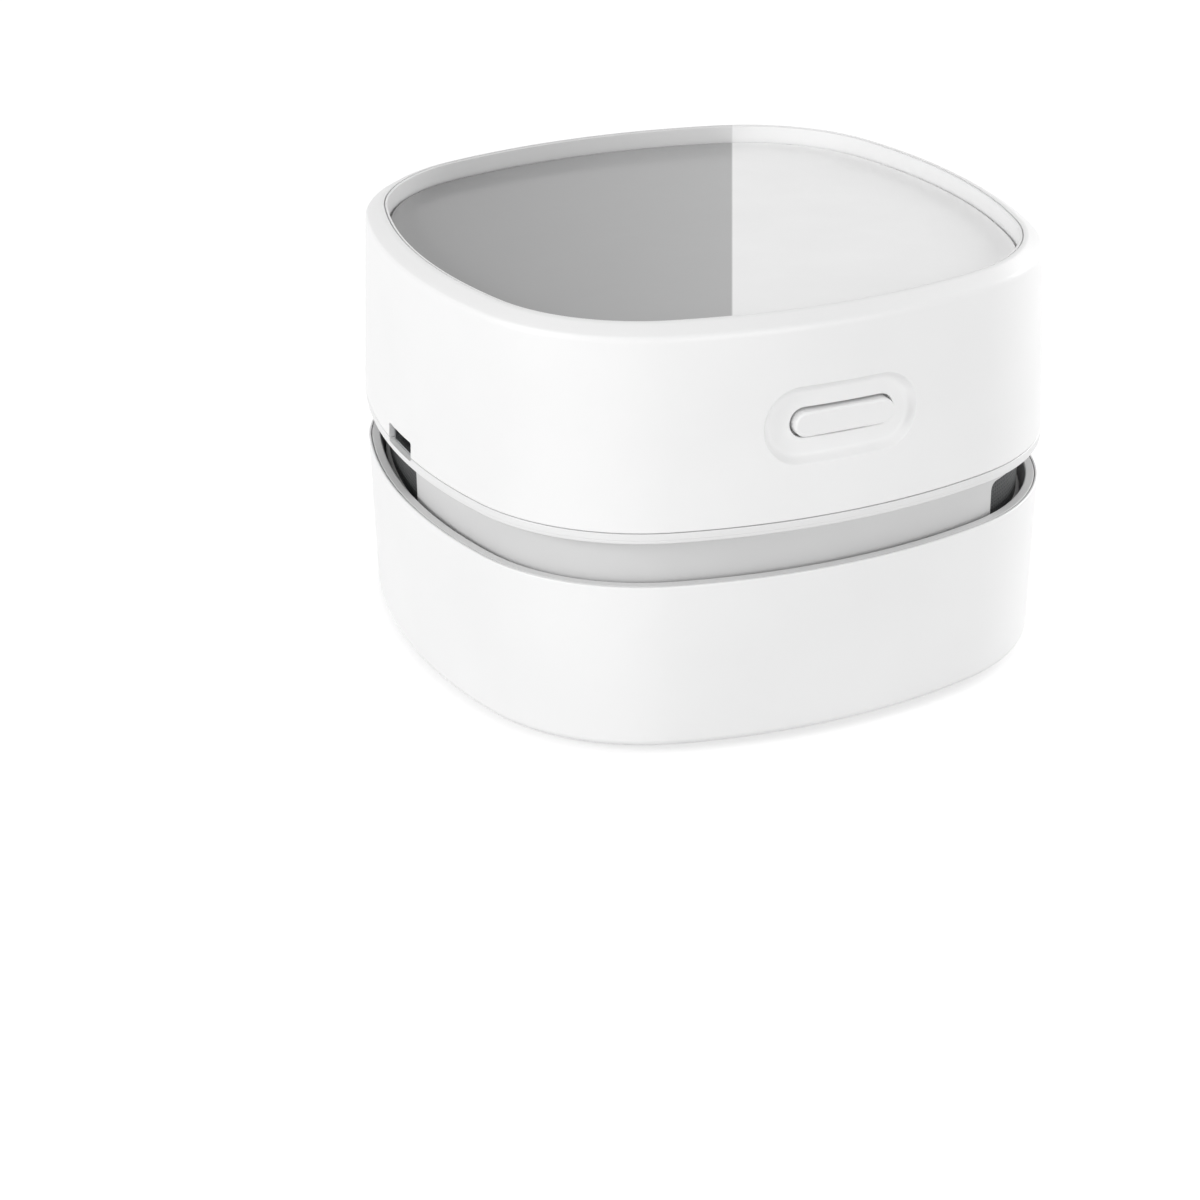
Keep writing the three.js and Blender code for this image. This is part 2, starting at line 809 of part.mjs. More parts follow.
function exhaustMesh(spin) {
  const margin_deg = (mesh_margin / neck_half_width) * (half_turn / Math.PI);
  const start = window_start_deg - margin_deg + spin;
  const end = window_end_deg + margin_deg + spin;
  const outer = neck_inner - fit_gap;
  const inner = outer - mesh_thickness;
  const sheet = band(inner, outer, start, end, window_bottom - mesh_margin, window_top + mesh_margin);
  const first = outlineIndexAt(window_start_deg + spin);
  let last = outlineIndexAt(window_end_deg + spin);
  if (last <= first) last += outline_steps;
  const line = new THREE.CurvePath();
  const samples = [];
  const sample_count = 240;
  for (let i = 0; i <= sample_count; i += 1) {
    const mark = first + ((last - first) * i) / sample_count;
    const low = Math.floor(mark);
    const from = outlinePoint(low, outer - mesh_thickness / 2);
    const to = outlinePoint(low + 1, outer - mesh_thickness / 2);
    samples.push(from.lerp(to, mark - low));
  }
  for (let i = 0; i < sample_count; i += 1) line.add(new THREE.LineCurve(samples[i], samples[i + 1]));
  const length = line.getLength();
  const pitch = mesh_hole + mesh_bar;
  const columns = Math.floor((length - mesh_bar) / pitch);
  const rows = Math.floor((window_top - window_bottom - mesh_bar) / pitch);
  const row_span = rows * pitch - mesh_bar;
  const row_start = (window_top + window_bottom - row_span) / 2;
  let holes = null;
  for (let column = 0; column < columns; column += 1) {
    const share = (column + 0.5) / columns;
    const point = line.getPointAt(share);
    const tangent = line.getTangentAt(share);
    for (let row = 0; row < rows; row += 1) {
      const geometry = new THREE.BoxGeometry(mesh_hole, 4 * mesh_thickness, mesh_hole);
      geometry.rotateZ(Math.atan2(tangent.y, tangent.x));
      geometry.translate(point.x, point.y, row_start + row * pitch + mesh_hole / 2);
      const hole = solidOf(geometry);
      holes = holes ? holes.add(hole) : hole;
    }
  }
  return cut(sheet, holes);
}

piece(head_group, 'exhaust_mesh_right', exhaustMesh(0), dark_mesh);
piece(head_group, 'exhaust_mesh_left', exhaustMesh(half_turn), dark_mesh);

// Chassis: visible ring, plate, register wall, motor collar, scroll walls and posts

const groove_low = neck_inner - fit_gap;
const groove_high = neck_half_width + fit_gap;
const register_outer = shellHalfWidth(shell_bottom) - shell_wall - slide_gap;
const register_top = plate_top + register_height;

let chassis = squareTurn([
  [0, plate_bottom],
  [groove_low, plate_bottom],
  [groove_low, neck_top],
  [groove_high, neck_top],
  [groove_high, plate_bottom],
  [body_half_width - ring_round, plate_bottom],
  [body_half_width - round_share * ring_round, plate_bottom + round_share * ring_round],
  [body_half_width, plate_bottom + ring_round],
  [body_half_width, ring_top],
  [register_outer, ring_top],
  [register_outer, register_top],
  [register_outer - register_wall, register_top],
  [register_outer - register_wall, plate_top],
  [0, plate_top],
]);
const collar = turn(
  [
    [collar_inner, plate_top - ring_round],
    [collar_outer, plate_top - ring_round],
    [collar_outer, plate_top + collar_height],
    [collar_inner, plate_top + collar_height],
  ],
);
chassis = join(chassis, collar);
chassis = cut(chassis, rod(collar_inner, plate_top, plate_top + collar_height + overrun, 0, 0, 28));

// Scroll walls lead the fan's air to the windows
const scroll_start_radius = impeller_radius + scroll_fan_gap;
const scroll_end_radius = neck_inner - scroll_end_gap;
const scroll_nose_radius = neck_inner - scroll_nose_gap;
function scrollWall(spin) {
  const path = [polar(scroll_nose_radius, scroll_nose_deg + spin)];
  const nose_steps = 3;
  for (let i = 1; i <= nose_steps; i += 1) {
    const share = i / nose_steps;
    const radius = scroll_nose_radius + (scroll_start_radius - scroll_nose_radius) * share;
    path.push(polar(radius, scroll_nose_deg + (scroll_start_deg - scroll_nose_deg) * share + spin));
  }
  const spiral_steps = 9;
  for (let i = 1; i <= spiral_steps; i += 1) {
    const share = i / spiral_steps;
    const radius = scroll_start_radius + (scroll_end_radius - scroll_start_radius) * share;
    path.push(polar(radius, scroll_start_deg + (scroll_end_deg - scroll_start_deg) * share + spin));
  }
  const points = path.map(([x, y]) => new THREE.Vector2(x, y));
  const left = [];
  const right = [];
  for (let i = 0; i < points.length; i += 1) {
    const before = points[Math.max(i - 1, 0)];
    const after = points[Math.min(i + 1, points.length - 1)];
    const along = after.clone().sub(before).normalize();
    const across = new THREE.Vector2(-along.y, along.x).multiplyScalar(scroll_wall / 2);
    left.push(points[i].clone().add(across).toArray());
    right.push(points[i].clone().sub(across).toArray());
  }
  const loop = [...right, ...left.reverse()];
  return prism(loop, cover_top + slide_gap, plate_bottom + plate_thickness / 2);
}
chassis = join(chassis, scrollWall(0), scrollWall(half_turn));

// Posts for the cover screws
const cover_post_distance = neck_inner - cover_post_gap - cover_post_radius;
const cover_spots = [0, half_turn].map((spin) => polar(cover_post_distance, cover_post_deg + spin));
for (const [x, y] of cover_spots) {
  chassis = join(chassis, rod(cover_post_radius, cover_top, plate_bottom + plate_thickness / 2, x, y));
  chassis = cut(chassis, rod(screw_radius + fit_gap, cover_top - overrun, plate_bottom, x, y));
}

// Slotted posts for the switch board
const board_front = frontWall(0, button_level) + switch_board_setback;
const board_back = board_front + switch_board_thickness;
for (const side of [-1, 1]) {
  const inner_x = (side * switch_board_width) / 2 - (side * board_post_width) / 4;
  const outer_x = inner_x + side * board_post_width;
  const post = box(
    Math.min(inner_x, outer_x),
    Math.max(inner_x, outer_x),
    board_front - board_post_depth / 2 + switch_board_thickness / 2,
    board_front + board_post_depth / 2 + switch_board_thickness / 2,
    plate_top - plate_thickness / 2,
    plate_top + board_post_height,
  );
  chassis = join(chassis, post);
}
const board_half = switch_board_width / 2;
const switch_board_top = deck_bottom - switch_board_headroom;
const switch_board_slot = box(
  -board_half - fit_gap,
  board_half + fit_gap,
  board_front - fit_gap,
  board_back + fit_gap,
  plate_top,
  switch_board_top + overrun,
);
chassis = cut(chassis, switch_board_slot);

// Screw holes, bush hole and the socket's pocket
const boss_distance = corner_reach - shell_wall - boss_wall_gap - boss_radius;
const boss_place = boss_distance / Math.SQRT2;
const boss_spots = corner_signs.map(([place, sx, sy]) => [place, sx * boss_place, sy * boss_place]);
const pocket_top = plate_bottom + screw_head_height + fit_gap;
for (const [, x, y] of boss_spots) {
  chassis = cut(
    chassis,
    rod(screw_clearance_radius, plate_bottom - overrun, plate_top + overrun, x, y),
    rod(head_pocket_radius, plate_bottom - overrun, pocket_top, x, y),
  );
}
const motor_screw_distance = motor_radius - motor_screw_inset;
const motor_spots = [
  ['a', motor_screw_distance, 0],
  ['b', -motor_screw_distance, 0],
];
for (const [, x, y] of motor_spots) {
  chassis = cut(
    chassis,
    rod(screw_clearance_radius, plate_bottom - overrun, plate_top + overrun, x, y),
    rod(head_pocket_radius, plate_bottom - overrun, pocket_top, x, y),
  );
}
chassis = cut(chassis, rod(bush_radius + slide_gap, plate_bottom - overrun, plate_top + overrun, 0, 0, 24));
const port_left = port_offset - port_width / 2;
const port_right = port_offset + port_width / 2;
const port_top = port_bottom + port_height;
const socket_front = -body_half_width + socket_recess;
const socket_back = socket_front + socket_length;
const port_cut = box(
  -body_half_width - overrun,
  socket_back + slide_gap,
  port_left,
  port_right,
  port_bottom,
  port_top,
);
chassis = cut(chassis, port_cut);
piece(head_group, 'chassis', chassis, ring_plastic);

// Head shell: tapered wall, crowned rim, deck under the panel and four screw bosses

const shell_foot = shellHalfWidth(shell_bottom);
const deck_half = shellHalfWidth(deck_bottom) - shell_wall;
const shoulder_half_width = crown_half_width + shoulder_share * (shell_top_half_width - crown_half_width);

let head_shell = squareTurn([
  [0, deck_top],
  [recess_half_width, deck_top],
  [recess_half_width, crest_level - recess_edge],
  [recess_half_width + recess_edge, crest_level],
  [crest_outer_half_width, crest_level],
  [crown_half_width, crest_level - crown_drop],
  [shoulder_half_width, crest_level - shoulder_share * shoulder_drop],
  [shell_top_half_width, crest_level - shoulder_drop],
  [shellHalfWidth(shell_bottom + shell_foot_edge), shell_bottom + shell_foot_edge],
  [shell_foot - shell_foot_edge, shell_bottom],
  [shell_foot - shell_wall, shell_bottom],
  [deck_half, deck_bottom],
  [0, deck_bottom],
]);
for (const [, x, y] of boss_spots) {
  head_shell = join(head_shell, rod(boss_radius, plate_top, deck_bottom + deck_thickness / 2, x, y));
  const hole_top = plate_top + boss_screw_length + overrun;
  head_shell = cut(head_shell, rod(screw_radius + fit_gap, plate_top - overrun, hole_top, x, y));
}
head_shell = cut(
  head_shell,
  wallSlot(dish_length, dish_height, -overrun, 0, dish_slope, dish_depth),
  wallSlot(button_length + 2 * button_gap, button_height + 2 * button_gap, -overrun, 2 * shell_wall, 0, 0),
  port_cut,
);
piece(head_group, 'head_shell', head_shell, white_plastic);

// Glossy panel in the recess

const panel_half_width = recess_half_width - slide_gap;
const top_panel = squareTurn([
  [0, deck_top],
  [panel_half_width, deck_top],
  [panel_half_width, panel_top - panel_edge],
  [panel_half_width - panel_edge, panel_top],
  [0, panel_top],
]);
piece(head_group, 'top_panel', top_panel, grey_gloss);

// Screws that hold the chassis, the motor and the fan cover

function screw(x, y, head_bottom, length) {
  const head = rod(screw_head_radius, head_bottom, head_bottom + screw_head_height, x, y);
  const slot_half = screw_head_radius * 0.15;
  const slot = box(
    x - 2 * screw_head_radius,
    x + 2 * screw_head_radius,
    y - slot_half,
    y + slot_half,
    head_bottom - overrun,
    head_bottom + screw_head_height / 2,
  );
  const shank = rod(screw_radius, head_bottom + screw_head_height / 2, head_bottom + length, x, y);
  return join(cut(head, slot), shank);
}

for (const [place, x, y] of boss_spots) {
  const solid = screw(x, y, plate_bottom, plate_thickness + boss_screw_length);
  piece(head_group, `chassis_screw_${place}`, solid, steel);
}
for (const [place, x, y] of motor_spots) {
  piece(head_group, `motor_screw_${place}`, screw(x, y, plate_bottom, plate_thickness + motor_sheet), steel);
}

// Fan cover: floor of the fan chamber with a ringed and spoked eye

const cover_half_width = neck_inner - fit_gap;
let fan_cover = squareTurn([
  [0, cover_bottom],
  [cover_half_width, cover_bottom],
  [cover_half_width, cover_top],
  [0, cover_top],
]);
fan_cover = cut(fan_cover, rod(cover_eye_radius, cover_bottom - overrun, cover_top + overrun, 0, 0, 28));
for (const share of cover_ring_radii_shares) {
  const radius = cover_eye_radius * share;
  const ring = turn(
    [
      [radius, cover_bottom],
      [radius + cover_ring_width, cover_bottom],
      [radius + cover_ring_width, cover_top],
      [radius, cover_top],
    ],
    20,
  );
  fan_cover = join(fan_cover, ring);
}
for (let i = 0; i < cover_spokes; i += 1) {
  const inner = cover_eye_radius * cover_ring_radii_shares[0] + cover_ring_width / 2;
  const spoke = new THREE.BoxGeometry(cover_eye_radius + overrun - inner, cover_spoke_width, cover_thickness);
  spoke.translate((cover_eye_radius + overrun + inner) / 2, 0, (cover_bottom + cover_top) / 2);
  spoke.rotateZ((2 * Math.PI * i) / cover_spokes);
  fan_cover = join(fan_cover, solidOf(spoke));
}
for (const [x, y] of cover_spots) {
  fan_cover = cut(fan_cover, rod(screw_clearance_radius, cover_bottom - overrun, cover_top + overrun, x, y));
}
piece(head_group, 'fan_cover', fan_cover, grey_plastic);
cover_spots.forEach(([x, y], i) => {
  const solid = screw(x, y, cover_bottom - screw_head_height, cover_screw_length);
  piece(head_group, `cover_screw_${'ab'[i]}`, solid, steel);
});

// Filter: a frame that hangs under the cover inside the neck's lip, with a pleated medium

const frame_half_width = neck_inner - neck_lip_width - slide_gap;
const frame_inner = frame_half_width - frame_wall;
let filter_frame = squareTurn([
  [frame_inner, cover_bottom],
  [frame_inner, frame_bottom + frame_lip_height],
  [frame_inner - frame_lip_width, frame_bottom + frame_lip_height],
  [frame_inner - frame_lip_width, frame_bottom],
  [frame_half_width, frame_bottom],
  [frame_half_width, cover_bottom],
]);
const rib_half = frame_rib_width / 2;
const rib_reach = frame_inner - frame_lip_width / 2;
filter_frame = join(
  filter_frame,
  box(-rib_reach, rib_reach, -rib_half, rib_half, frame_bottom, frame_bottom + frame_lip_height),
  box(-rib_half, rib_half, -rib_reach, rib_reach, frame_bottom, frame_bottom + frame_lip_height),
);
piece(head_group, 'filter_frame', filter_frame, grey_plastic);

const medium_half_width = frame_inner - fit_gap;
const medium_bottom = frame_bottom + frame_lip_height;
const pleat_count = Math.floor((2 * medium_half_width) / pleat_pitch);
const pleat_step = (2 * medium_half_width) / pleat_count;
const pleat_points = [];
for (let i = 0; i <= pleat_count; i += 1) {
  pleat_points.push([-medium_half_width + i * pleat_step, medium_bottom]);
  if (i < pleat_count) {
    pleat_points.push([-medium_half_width + (i + 0.5) * pleat_step, medium_bottom + pleat_depth]);
  }
}
for (let i = pleat_count; i >= 0; i -= 1) {
  pleat_points.push([-medium_half_width + i * pleat_step, medium_bottom + medium_height - pleat_depth]);
  if (i > 0) {
    pleat_points.push([-medium_half_width + (i - 0.5) * pleat_step, medium_bottom + medium_height]);
  }
}
const pleat_shape = new THREE.Shape(pleat_points.map(([x, z]) => new THREE.Vector2(x, z)));
const pleat_geometry = new THREE.ExtrudeGeometry(pleat_shape, {
  depth: 2 * body_half_width,
  bevelEnabled: false,
});
pleat_geometry.rotateX(Math.PI / 2);
pleat_geometry.translate(0, body_half_width, 0);
const medium_block = squareTurn([
  [0, frame_bottom],
  [medium_half_width, frame_bottom],
  [medium_half_width, cover_bottom],
  [0, cover_bottom],
]);
piece(head_group, 'filter_medium', solidOf(pleat_geometry).intersect(medium_block), filter_paper);

// Motor: can with bush, magnets, end cap and terminals

let motor_can = turn(
  [
    [0, plate_top],
    [motor_radius, plate_top],
    [motor_radius, motor_top],
    [motor_radius - motor_sheet, motor_top],
    [motor_radius - motor_sheet, plate_top + motor_sheet],
    [0, plate_top + motor_sheet],
  ],
);
const can_bottom_hole = rod(bush_radius + fit_gap, plate_top - overrun, plate_top + 2 * overrun, 0, 0, 24);
motor_can = cut(motor_can, can_bottom_hole);
for (const [, x, y] of motor_spots) {
  const hole = rod(screw_radius + fit_gap, plate_top - overrun, plate_top + 2 * overrun, x, y);
  motor_can = cut(motor_can, hole);
}
piece(head_group, 'motor_can', motor_can, steel);

const bush_bottom = plate_top + motor_sheet - bush_length;
const bush_flange = fit_gap + motor_sheet;
let motor_bush = turn(
  [
    [0, bush_bottom],
    [bush_radius, bush_bottom],
    [bush_radius, plate_top + motor_sheet],
    [bush_radius + bush_flange, plate_top + motor_sheet],
    [bush_radius + bush_flange, plate_top + 2 * motor_sheet],
    [0, plate_top + 2 * motor_sheet],
  ],
  24,
);
const shaft_bore = rod(shaft_radius + fit_gap, bush_bottom - overrun, motor_top);
motor_bush = cut(motor_bush, shaft_bore);
piece(head_group, 'motor_bush', motor_bush, brass);

const cap_bottom = motor_top - end_cap_thickness;
const boss_top = motor_top + end_cap_boss_height;
let end_cap = turn(
  [
    [0, cap_bottom],
    [motor_radius - motor_sheet - fit_gap, cap_bottom],
    [motor_radius - motor_sheet - fit_gap, motor_top],
    [end_cap_boss_radius, motor_top],
    [end_cap_boss_radius, boss_top],
    [0, boss_top],
  ],
);
end_cap = cut(end_cap, rod(shaft_radius + fit_gap, cap_bottom - overrun, boss_top - motor_sheet / 2));
piece(head_group, 'motor_end_cap', end_cap, black_plastic);

[
  ['a', 1],
  ['b', -1],
].forEach(([letter, side]) => {
  const x = side * (motor_radius - terminal_inset);
  const tab = box(
    x - terminal_width / 2,
    x + terminal_width / 2,
    -terminal_thickness / 2,
    terminal_thickness / 2,
    motor_top,
    motor_top + terminal_height,
  );
  piece(head_group, `motor_terminal_${letter}`, tab, brass);
});

const magnet_outer = motor_radius - motor_sheet - fit_gap;
const magnet_inner = magnet_outer - magnet_thickness;
const magnet_bottom = plate_top + 2 * motor_sheet;
const magnet_top = cap_bottom - magnet_end_gap;
[
  ['a', 90],
  ['b', 270],
].forEach(([letter, middle]) => {
  const points = [];
  const arc_steps = 10;
  for (let i = 0; i <= arc_steps; i += 1) {
    points.push(polar(magnet_outer - fit_gap, middle + magnet_arc_deg * (i / arc_steps - 0.5)));
  }
  for (let i = arc_steps; i >= 0; i -= 1) {
    points.push(polar(magnet_inner - fit_gap, middle + magnet_arc_deg * (i / arc_steps - 0.5)));
  }
  const solid = prism(points, magnet_bottom, magnet_top);
  piece(head_group, `motor_magnet_${letter}`, solid, ferrite);
});

// Battery pack in its cradle

const cradle_half_length = boss_place - boss_radius - cradle_boss_gap;
const room_inner = register_outer - register_wall;
const cradle_front = collar_outer + cradle_collar_gap;
const cradle_back = sideReach(room_inner, cradle_half_length) - cradle_wall_gap;
const cradle_top = plate_top + cradle_height;
const cell_bottom = plate_top + cradle_wall;
const cell_top = deck_bottom - cell_headroom;
const pocket_half = cradle_half_length - cradle_wall;
const battery_cradle = cut(
  box(-cradle_half_length, cradle_half_length, cradle_front, cradle_back, plate_top, cradle_top),
  box(
    -pocket_half,
    pocket_half,
    cradle_front + cradle_wall,
    cradle_back - cradle_wall,
    cell_bottom,
    cradle_top + overrun,
  ),
);
piece(head_group, 'battery_cradle', battery_cradle, black_plastic);

const cell_half = pocket_half - fit_gap;
const cell_front = cradle_front + cradle_wall + fit_gap;
const cell_back = cradle_back - cradle_wall - fit_gap;
const cell_outline = [
  [cell_front + cell_round, cell_bottom],
  [cell_back - cell_round, cell_bottom],
  [cell_back, cell_bottom + cell_round],
  [cell_back, cell_top - cell_round],
  [cell_back - cell_round, cell_top],
  [cell_front + cell_round, cell_top],
  [cell_front, cell_top - cell_round],
  [cell_front, cell_bottom + cell_round],
];
const cell_shape = new THREE.Shape(cell_outline.map(([y, z]) => new THREE.Vector2(y, z)));
const cell_block = new THREE.ExtrudeGeometry(cell_shape, { depth: 2 * cell_half, bevelEnabled: false });
cell_block.rotateX(Math.PI / 2);
cell_block.rotateZ(Math.PI / 2);
cell_block.translate(-cell_half, 0, 0);
const tab_middle = (cell_front + cell_back) / 2;
const tab_half = cell_tab_width / 2;
const cell_tab = box(
  cell_half - cell_tab_inset - 2 * cell_tab_width,
  cell_half - cell_tab_inset,
  tab_middle - tab_half,
  tab_middle + tab_half,
  cell_top - cell_round,
  cell_top + cell_tab_height,
);
piece(head_group, 'battery_cell', join(solidOf(cell_block), cell_tab), cell_wrap);

// Main board with its charging chip and the socket in a notch

const board_left = board_wall_gap - sideReach(room_inner, board_width / 2 - port_offset);
const board_right = -(collar_outer + board_collar_gap);
let main_board = box(
  board_left,
  board_right,
  port_offset - board_width / 2,
  port_offset + board_width / 2,
  plate_top,
  plate_top + board_thickness,
);
main_board = cut(
  main_board,
  box(
    board_left - overrun,
    socket_back + slide_gap,
    port_left,
    port_right,
    plate_top - overrun,
    plate_top + board_thickness + overrun,
  ),
);
piece(head_group, 'main_board', main_board, board_green);
const chip_x = (board_left + board_right) / 2;
const chip_y = port_offset + board_width / 4;
const charge_chip = box(
  chip_x - chip_length / 2,
  chip_x + chip_length / 2,
  chip_y - chip_width / 2,
  chip_y + chip_width / 2,
  plate_top + board_thickness,
  plate_top + board_thickness + chip_height,
);
piece(head_group, 'charge_chip', charge_chip, black_plastic);

const socket_left = port_left + socket_side_clearance;
const socket_right = port_right - socket_side_clearance;
const socket_bottom = port_bottom + socket_clearance;
const socket_top = port_top - socket_clearance;
const usb_shell = cut(
  box(socket_front, socket_back, socket_left, socket_right, socket_bottom, socket_top),
  box(
    socket_front - overrun,
    socket_back + overrun,
    socket_left + socket_sheet,
    socket_right - socket_sheet,
    socket_bottom + socket_sheet,
    socket_top - socket_sheet,
  ),
);
piece(head_group, 'usb_shell', usb_shell, steel);
const inside_left = socket_left + socket_sheet + fit_gap;
const inside_right = socket_right - socket_sheet - fit_gap;
const usb_tongue = join(
  box(
    socket_back - tongue_block,
    socket_back,
    inside_left,
    inside_right,
    socket_bottom + socket_sheet + fit_gap,
    socket_top - socket_sheet - fit_gap,
  ),
  box(
    socket_front + tongue_block,
    socket_back - tongue_block / 2,
    inside_left + tongue_thickness,
    inside_right - tongue_thickness,
    socket_top - socket_sheet - fit_gap - tongue_thickness,
    socket_top - socket_sheet - fit_gap,
  ),
);
piece(head_group, 'usb_tongue', usb_tongue, black_plastic);

// Switch board and the switch behind the button

const switch_board = box(
  -board_half,
  board_half,
  board_front,
  board_back,
  plate_top,
  switch_board_top,
);
piece(head_group, 'switch_board', switch_board, board_green);
const switch_front = board_front - switch_depth;
let switch_body = box(
  -switch_size / 2,
  switch_size / 2,
  switch_front,
  board_front,
  button_level - switch_size / 2,
  button_level + switch_size / 2,
);
const plunger_back = switch_front + plunger_root;
switch_body = cut(
  switch_body,
  rodAlongY(
    plunger_radius + fit_gap,
    switch_front - overrun,
    plunger_back + button_travel + slide_gap,
    0,
    button_level,
  ),
);
piece(head_group, 'switch_body', switch_body, black_plastic);

// Button: a bevelled slot-shaped cap, an inner flange and a stem on the switch's plunger

const plunger_front = switch_front - plunger_proud;
const switch_plunger = rodAlongY(plunger_radius, plunger_front, plunger_back, 0, button_level);
piece(button_group, 'switch_plunger', switch_plunger, black_plastic);

const cap_face = frontWall(0, button_level) + button_inset;
const flange_face = frontWall(0, button_level) + shell_wall + button_flange_inset;
function slotAlongY(length, height, y0, y1, bevel) {
  const shape = new THREE.Shape(
    slotPoints(length - 2 * bevel, height - 2 * bevel).map(([x, y]) => new THREE.Vector2(x, y)),
  );
  const geometry = new THREE.ExtrudeGeometry(shape, {
    depth: y1 - y0 - 2 * bevel,
    bevelEnabled: bevel > 0,
    bevelThickness: bevel,
    bevelSize: bevel,
    bevelSegments: 2,
  });
  geometry.translate(0, 0, bevel);
  geometry.rotateX(Math.PI / 2);
  geometry.translate(0, y1, button_level);
  return solidOf(geometry);
}
const power_button = join(
  slotAlongY(button_length, button_height, cap_face, flange_face + button_flange_thickness / 2, button_edge),
  slotAlongY(
    button_length + 2 * button_flange,
    button_height + 2 * button_flange,
    flange_face,
    flange_face + button_flange_thickness,
    0,
  ),
  rodAlongY(plunger_radius, flange_face + button_flange_thickness / 2, plunger_front, 0, button_level),
);
piece(button_group, 'power_button', power_button, button_white);

// Rotor: shaft, armature and impeller

const shaft_bottom = impeller_bottom + shaft_end_inset;
const shaft_top = boss_top - motor_sheet;
piece(rotor_group, 'motor_shaft', rod(shaft_radius, shaft_bottom, shaft_top), steel);

const armature_radius = magnet_inner - fit_gap - armature_gap;
const armature_bottom = magnet_bottom + armature_end_gap;
const armature_top = magnet_top - armature_end_gap;
const slot_height = armature_top - armature_bottom + 2 * overrun;
let armature = join(
  rod(armature_radius, armature_bottom, armature_top, 0, 0, 30),
  rod(commutator_radius, armature_top - fit_gap, armature_top + commutator_height),
);
for (let i = 0; i < armature_slots; i += 1) {
  const slot = new THREE.BoxGeometry(armature_radius, armature_slot, slot_height);
  slot.translate(armature_radius, 0, (armature_bottom + armature_top) / 2);
  slot.rotateZ((2 * Math.PI * i) / armature_slots);
  armature = cut(armature, solidOf(slot));
}
const armature_bore_top = armature_top + commutator_height + overrun;
armature = cut(armature, rod(shaft_radius + fit_gap, armature_bottom - overrun, armature_bore_top));
piece(rotor_group, 'armature', armature, copper_iron);

let impeller = join(
  rod(impeller_radius, impeller_top - impeller_plate, impeller_top, 0, 0, 32),
  rod(impeller_hub_radius, impeller_bottom, impeller_top, 0, 0, 20),
);
function blade(turn_deg) {
  const steps = 6;
  const outside = [];
  const inside = [];
  for (let i = 0; i <= steps; i += 1) {
    const share = i / steps;
    const radius = impeller_eye_radius + (impeller_radius - impeller_eye_radius) * share;
    const angle = turn_deg - blade_sweep_deg * share;
    const half_deg = ((blade_thickness / 2 / radius) * 180) / Math.PI;
    const lean = 1 + 0.3 * share;
    outside.push(polar(radius, angle + half_deg * lean));
    inside.push(polar(radius, angle - half_deg * lean));
  }
  return prism([...outside, ...inside.reverse()], impeller_bottom, impeller_top - impeller_plate / 2);
}
for (let i = 0; i < blade_count; i += 1) {
  impeller = join(impeller, blade((360 * i) / blade_count));
}
const hub_bore = rod(shaft_radius + fit_gap, shaft_bottom - fit_gap, impeller_top + overrun);
impeller = cut(impeller, hub_bore);
piece(rotor_group, 'impeller', impeller, fan_white);

export default vacuum;
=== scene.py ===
import bisect
import math
import random

import bmesh
import bpy
from mathutils import Matrix, Vector


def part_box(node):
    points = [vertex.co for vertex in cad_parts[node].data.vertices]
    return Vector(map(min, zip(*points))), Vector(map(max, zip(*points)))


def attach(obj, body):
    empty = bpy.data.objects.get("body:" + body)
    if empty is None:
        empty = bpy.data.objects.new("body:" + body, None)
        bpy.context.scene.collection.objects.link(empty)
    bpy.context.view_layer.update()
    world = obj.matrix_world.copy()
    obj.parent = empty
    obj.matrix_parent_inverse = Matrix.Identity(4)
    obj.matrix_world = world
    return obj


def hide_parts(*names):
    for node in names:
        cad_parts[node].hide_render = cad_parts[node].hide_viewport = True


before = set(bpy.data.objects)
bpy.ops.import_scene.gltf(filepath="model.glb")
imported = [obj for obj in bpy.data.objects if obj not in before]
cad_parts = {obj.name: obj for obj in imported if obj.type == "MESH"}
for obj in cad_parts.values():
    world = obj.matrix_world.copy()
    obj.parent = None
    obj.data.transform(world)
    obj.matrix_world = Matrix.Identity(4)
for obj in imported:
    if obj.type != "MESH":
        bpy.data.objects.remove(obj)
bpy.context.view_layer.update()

# A small desktop vacuum cleaner: a dust cup with a lift-off head above it.
# Metres, in the frame's own places. A half width is the distance from the axis to the middle of a side.

mm = 0.001

# Levels and widths read from the frame


def levels(node):
    low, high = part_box(node)
    return low.z, high.z


def half_width(node):
    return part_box(node)[1].x


CUP_LOW, CUP_HIGH = levels("outer_cup")
CUP_HALF = half_width("outer_cup")
LINER_LOW = levels("dust_liner")[0]
SEAL_LOW, SEAL_HIGH = levels("seal_ring")
HUB_HIGH = levels("inlet_hub")[1]
NOZZLE_HIGH = levels("nozzle_holder")[1]
NECK_LOW, NECK_HIGH = levels("neck")
NECK_HALF = half_width("neck")
COVER_LOW, COVER_HIGH = levels("fan_cover")
FRAME_LOW = levels("filter_frame")[0]
FRAME_HALF = half_width("filter_frame")
BODY_HALF = half_width("chassis")
SHELL_LOW, SHELL_HIGH = levels("head_shell")
PANEL_LOW, PANEL_HIGH = levels("top_panel")
PANEL_HALF = half_width("top_panel")
BUTTON_LOW, BUTTON_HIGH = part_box("power_button")
NECK_SEAT = 0.6 * mm
PLATE_LOW = NECK_HIGH - NECK_SEAT

